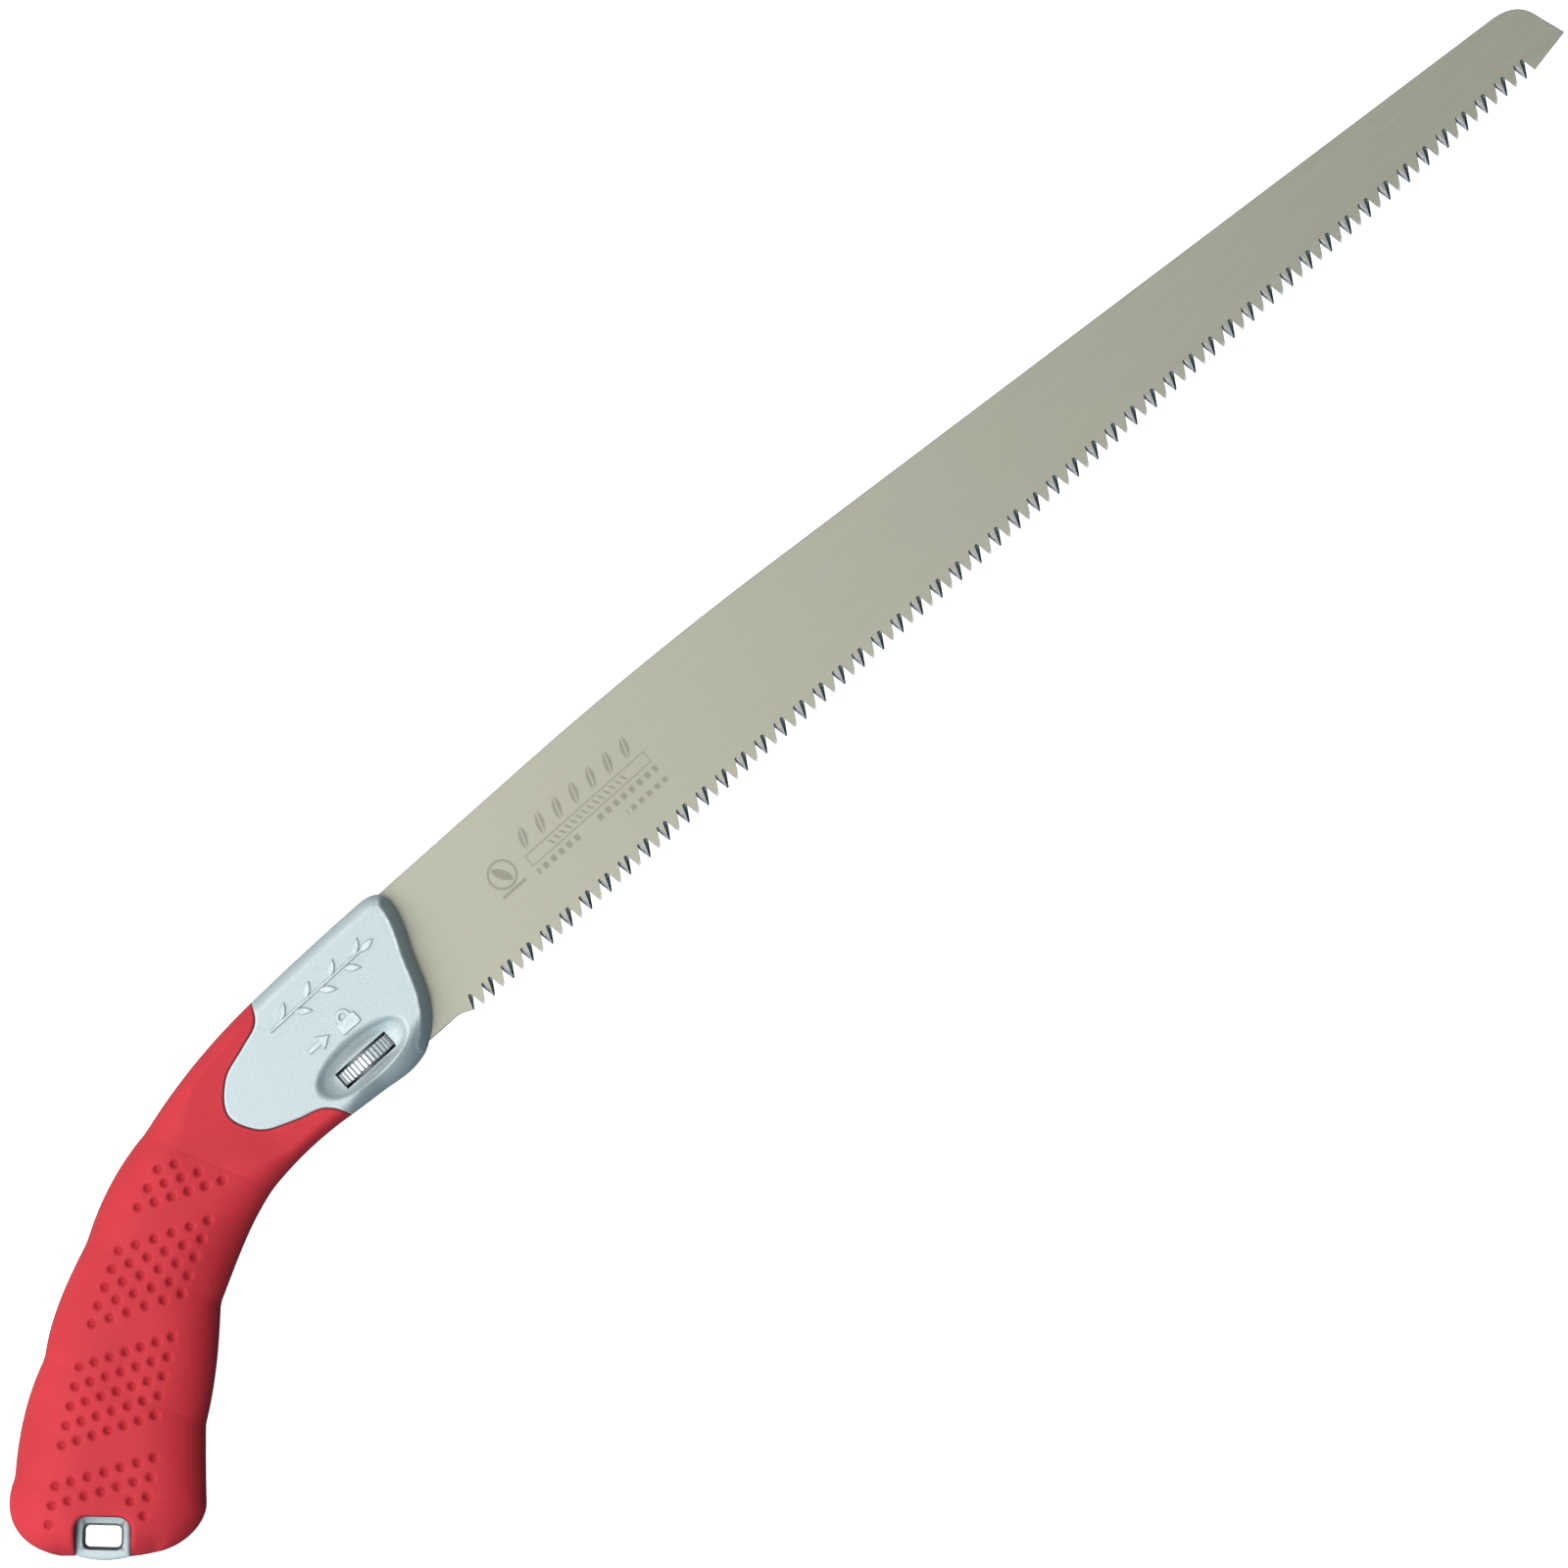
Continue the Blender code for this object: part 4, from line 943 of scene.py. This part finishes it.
def etched_mark(f, x, y):
    """1 on a plain mark of leaves, a framed row of bars and rows of dashes; 0 elsewhere."""
    def under(value, limit, soft=0.12):
        return f.between(value, limit - soft, limit + soft, 1, 0)

    def inside(cx, cy, half_x, half_y):
        return f.times(under(f.size(f.minus(x, cx)), half_x), under(f.size(f.minus(y, cy)), half_y))

    def lens(a, b, radius, off):
        """A pointed oval along b, made by two circles that overlap."""
        return f.times(under(f.length(f.plus(a, off), b), radius),
                       under(f.length(f.minus(a, off), b), radius))

    def stripes(value, pitch, width):
        return under(f.math("MODULO", value, pitch), width)

    # A leaf in a ring, with a bar under it
    ring_x, ring_y = f.minus(x, 25.2), f.minus(y, 19.9)
    mark = under(f.size(f.minus(f.length(ring_x, ring_y), 3.3)), 0.28)
    mark = f.most(mark, lens(f.plus(ring_x, f.times(ring_y, 0.45)), ring_y, 3.3, 2.05))
    mark = f.most(mark, inside(25.2, 15.6, 3.5, 0.35))
    # A row of leaning leaves, each split by its rib
    leaf_x, leaf_y = f.minus(f.math("MODULO", f.minus(x, 31.9), 5.2), 2.6), f.minus(y, 23.1)
    leaf_x = f.minus(leaf_x, f.times(leaf_y, 0.35))
    leaves = f.times(lens(leaf_x, leaf_y, 4.0, 2.9), f.between(f.size(leaf_x), 0.12, 0.3))
    mark = f.most(mark, f.times(leaves, inside(50.1, 23.1, 18.2, 3)))
    # A frame round a row of slanted bars
    hollow = f.minus(1.0, inside(50.1, 18.1, 18.0, 1.3))
    mark = f.most(mark, f.times(inside(50.1, 18.1, 18.3, 1.6), hollow))
    slanted = stripes(f.plus(x, f.times(y, 0.5)), 1.7, 0.55)
    mark = f.most(mark, f.times(inside(50, 18.1, 12, 0.75), slanted))
    # Dashes in two rows
    rows = f.most(inside(38.6, 14.8, 6.8, 0.75), inside(59.3, 14.8, 9.0, 0.75))
    rows = f.most(rows, inside(62.3, 11.4, 6.1, 0.6))
    return f.most(mark, f.times(rows, stripes(x, 2.4, 1.3)))


def bevel_finish():
    """The ground tooth faces: bare steel, brighter and smoother than the plate."""
    f = Finish("bare_ground_teeth", Metallic=1.0)
    lines = f.noise(0.12, 2, (1, 0.2, 1))
    colour = f.mottled(lines, (0.30, 0.31, 0.33), (0.42, 0.43, 0.45))
    return f.done(colour, f.between(lines, 0.2, 0.8, 0.2, 0.3), f.bump(lines, 0.01, 0.4))


def plated_finish(name, dark, light, rough, metallic=1.0):
    """A plated steel with a fine grain and faint cloudiness; it also gives the tooth lands their pale
    painted highlight.
    """
    f = Finish(name, Metallic=metallic)
    grain, cloud = f.noise(0.3, 3), f.noise(3.5, 3)
    colour = f.mottled(grain, dark, light)
    colour = f.mix(f.between(cloud, 0.3, 0.7, 0, 0.35), colour, tuple(v * 0.86 for v in light))
    return f.done(colour, f.between(grain, 0.2, 0.8, rough, rough + 0.1), f.bump(grain, 0.015, 0.5))


def wheel_finish():
    """Bright nickel with painted shade darkening its knurl grooves."""
    f = Finish("bright_knurled_nickel", Metallic=0.4)
    grain = f.noise(0.25, 3)
    colour = f.mottled(grain, (0.60, 0.66, 0.66), (0.72, 0.77, 0.77))
    # Painted shade in the knurl grooves
    groove_shade = f.between(f.from_lock_axis(), WHEEL_RADIUS - KNURL_DEPTH, WHEEL_RADIUS - 0.05, 0.85, 0)
    colour = f.mix(groove_shade, colour, (0.045, 0.05, 0.06))
    return f.done(colour, f.between(grain, 0.2, 0.8, 0.24, 0.34), f.bump(grain, 0.012, 0.5))


# ---- making ----

def store(obj, name, amount):
    """Stores a value from 0 to 1 at each vertex, worked out from its place in millimetres."""
    count = len(obj.data.vertices)
    places = np.empty(count * 3, np.float32)
    obj.data.vertices.foreach_get("co", places)
    values = amount(places.reshape(-1, 3) / MM)
    layer = obj.data.attributes.new(name, "FLOAT", "POINT")
    layer.data.foreach_set("value", np.clip(values, 0, 1).astype(np.float32))


def head_wear_and_highlight(places):
    """Painted highlight on the front bevel's ridge and round the border, and brighter on the raised
    marks' tops.
    """
    plan, height = places[:, :2], np.abs(places[:, 2])
    border, _, front, _ = head_parts()
    ridge = np.exp(-((distance_to(front[::4], plan) - FRONT_BEVEL) / HIGHLIGHT_WIDTH) ** 2)
    lip = np.exp(-(distance_to(border[::4], plan) / HIGHLIGHT_WIDTH) ** 2) * 0.5
    marks = 0.35 * (height > HEAD_HALF + 0.1)
    return np.max([ridge, lip, marks], axis=0) * (height > FRONT_HALF)


def head_recess_shade(places):
    """1 on the walls of the lanyard hole, which get painted shade."""
    return (np.abs(on_lug(places[:, :2])) <= np.array(LUG_HOLE[:2]) / 2 + 0.05).all(1)


def grip_joints(places, width):
    """1 where the sleeve meets the head or the lug, fading over the width."""
    plan = places[:, :2]
    return np.exp(-(np.minimum(from_border(plan), np.abs(lug_distance(plan))) / width) ** 2)


def make_castings(material):
    arm = core([0, *ARM_ROWS, CORE_END])
    edge = [(LUG_EDGE * (1 - math.cos(a)) - LUG_THICK, LUG_EDGE * (1 - math.sin(a)))
            for a in np.linspace(0, math.pi / 2, 9)]
    lug = lug_block(LUG_HALF[0], LUG_ROOT, LUG_OUT, LUG_CORNER,
                    edge + [(-z, inset) for z, inset in edge[::-1]])
    for name, side in (("near", 1), ("far", -1)):
        away = sorted((side * PARTING_HALF, -side * THROUGH))
        added = [arm, lug]
        for mark in head_marks():
            levels = ((6, MARK_SLOPE), (HEAD_HALF - 0.1, MARK_SLOPE), (HEAD_HALF + MARK_HEIGHT, 0))
            shape = [[(x, y, side * z) for x, y in grown(mark, out)] for z, out in levels]
            added.append(loft(shape))
        cuts = [box((-200, -80, away[0]), (30, 60, away[1])), *inner_cuts()]
        casting = carve(body_mesh("casting_" + name, head_solid(side)), cuts, added)
        # Painted highlight on the front ridge and the border lip, and brighter mark tops
        store(casting, "wear_and_highlight", head_wear_and_highlight)
        # Painted shade on the lanyard hole's walls
        store(casting, "recess_shade", head_recess_shade)
        finish(casting, material, "silver_casting", "handle", "frame_" + name)


def make_grip(material):
    rows = [0.02, *ARM_ROWS, CORE_END + 0.03]
    height = LUG_THICK + CLEARANCE
    window = lug_block(LUG_HALF[0] + JOINT, LUG_HALF[1] + JOINT, -12, LUG_CORNER,
                       [(-THROUGH, 0), (THROUGH, 0)])
    slot = lug_block(LUG_HALF[0] + CLEARANCE, LUG_ROOT + CLEARANCE, 0, 1.5, [(-height, 0), (height, 0)])
    cuts = [core(rows, grow=CLEARANCE), window, slot]
    grip = carve(body_mesh("grip", grip_solid()), cuts)
    store(grip, "wear_and_highlight", lambda places: 0.8 * grip_joints(places, 0.9))
    # Painted shade in the dimples
    store(grip, "recess_shade", lambda places: in_dimples(places[:, :2]) ** 0.5)
    # Painted shade along the joints with the head and the lug
    store(grip, "joint_shade", lambda places: grip_joints(places, 0.3))
    finish(grip, material, "red_elastomer", "handle", "grip_sleeve", smooth=40)


def make_blade(plate, bevel, land):
    points, faces, finishes = blade_solid()
    blade = body_mesh("saw_blade", (points, faces))
    finish(blade, plate, "blade_steel", "blade", "blade", smooth=None)
    blade.data.materials.append(bevel)
    blade.data.materials.append(land)
    blade.data.polygons.foreach_set("material_index", np.array(finishes, np.int32))


def make_lock(nickel, zinc):
    hub, *cuts = (turned([(radius, low), (radius, high)], 64) for radius, low, high in (
        (HUB_OUTER, CAVITY_LOW + JOINT, CAVITY_HIGH - JOINT), (HUB_INNER, 5, WHEEL_LOW + JOINT),
        (HUB_INNER, WHEEL_HIGH - JOINT, 13), (STUD_RADIUS + CLEARANCE, 5, 12)))
    wheel = carve(body_mesh("knurled_wheel", wheel_solid()), cuts, [hub])
    finish(wheel, nickel, "nickel", "lock_wheel", "lock_wheel")
    for i, place in enumerate(SCREWS):
        screw = body_mesh(f"casting_screw_{i + 1}", screw_solid(*place))
        carve(screw, [screw_socket(*place)])
        finish(screw, zinc, "zinc_steel", "handle", f"frame_screw_{i + 1}")
    for name in ("lock_stud", "stud_key_plate", "thrust_washer", "wave_washer", "tang_pin",
                 "back_stop_pin", "butt_dowel"):
        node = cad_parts[name]
        for slot in node.material_slots:
            slot.material = zinc
        if name in ("stud_key_plate", "thrust_washer"):
            step = node.modifiers.new("soft_edges", "BEVEL")
            step.width, step.segments, step.angle_limit = 0.12 * MM, 2, math.radians(50)


def make_camera():
    camera = placed("camera", bpy.data.cameras.new("camera"))
    camera.data.sensor_width = 36
    camera.data.lens = camera.data.sensor_width * CAMERA_HEIGHT / VIEW_WIDTH
    camera.location = (Vector((*VIEW_CENTRE, CAMERA_HEIGHT)) + ORIGIN) * MM
    camera.rotation_euler = (0, 0, VIEW_TURN)
    bpy.context.scene.camera = camera


def area_light(name, place, target, size, power, colour=(1, 1, 1)):
    light = bpy.data.lights.new(name, "AREA")
    light.shape, light.size, light.size_y = "RECTANGLE", *size
    light.energy, light.color = power, colour
    obj = placed(name, light)
    obj.location = place
    obj.rotation_euler = (Vector(target) - Vector(place)).to_track_quat("-Z", "Y").to_euler()
    obj.visible_camera = False


def make_stage():
    """A pale floor under the saw, soft lights, and a sky that darkens away from the light."""
    mesh = bpy.data.meshes.new("floor")
    reach, low = 6.0, -0.0004
    corners = [(-reach, -reach, low), (reach, -reach, low), (reach, reach, low), (-reach, reach, low)]
    mesh.from_pydata(corners, [], [(0, 1, 2, 3)])
    floor = placed("floor", mesh)
    f = Finish("pale_floor", Roughness=0.9, Specular_IOR_Level=0.1, Emission_Color=(1, 1, 1, 1),
               Emission_Strength=0.8)
    mesh.materials.append(f.done(f.mix(f.noise(300, 2), (0.86, 0.86, 0.86), (0.88, 0.88, 0.88))))
    floor.visible_diffuse = floor.visible_glossy = False

    area_light("key", (-1.05, 1.25, 1.5), (0, 0, 0), (1.4, 1.4), 18)
    area_light("fill", (-1.0, -1.2, 0.8), (0, 0, 0), (1.2, 0.8), 8.5, (0.78, 0.95, 1.0))
    area_light("top", (-0.47, 0.1, 1.0), (-0.25, 0.0, 0), (0.8, 0.8), 6.2)

    world = bpy.data.worlds.new("studio")
    bpy.context.scene.world = world
    world.use_nodes = True
    nodes, links = world.node_tree.nodes, world.node_tree.links
    where = nodes.new("ShaderNodeTexCoord")
    facing = nodes.new("ShaderNodeVectorMath")
    facing.operation = "DOT_PRODUCT"
    facing.inputs[1].default_value = Vector((-0.7, 0.62, 0.35)).normalized()
    shade = nodes.new("ShaderNodeMapRange")
    shade.inputs[1].default_value, shade.inputs[2].default_value = -1, 1
    sky = nodes.new("ShaderNodeValToRGB")
    sky.color_ramp.elements.new(0.42)
    for stop, place, colour in zip(sky.color_ramp.elements, (0, 0.42, 1), (
            (0.0, 0.01, 0.015, 1), (0.13, 0.18, 0.225, 1), (1, 1, 1, 1))):
        stop.position, stop.color = place, colour
    links.new(where.outputs["Generated"], facing.inputs[0])
    links.new(facing.outputs["Value"], shade.inputs[0])
    links.new(shade.outputs[0], sky.inputs[0])
    links.new(sky.outputs[0], nodes["Background"].inputs["Color"])
    nodes["Background"].inputs["Strength"].default_value = 1.5
    bpy.context.scene.view_settings.view_transform = "Standard"


def main():
    make_camera()
    make_stage()
    casting, rubber = casting_finish(), rubber_finish()
    nickel = wheel_finish()
    zinc = plated_finish("zinc_plated_steel", (0.42, 0.43, 0.44), (0.55, 0.56, 0.56), 0.32)
    # The tooth lands get a pale, bluish, mostly non-metal colour: a painted highlight on the steel
    land = plated_finish("tooth_lands_painted_highlight", (0.66, 0.70, 0.72), (0.76, 0.80, 0.82), 0.4, 0.2)
    make_blade(blade_finish(), bevel_finish(), land)
    make_castings(casting)
    make_grip(rubber)
    make_lock(nickel, zinc)


main()
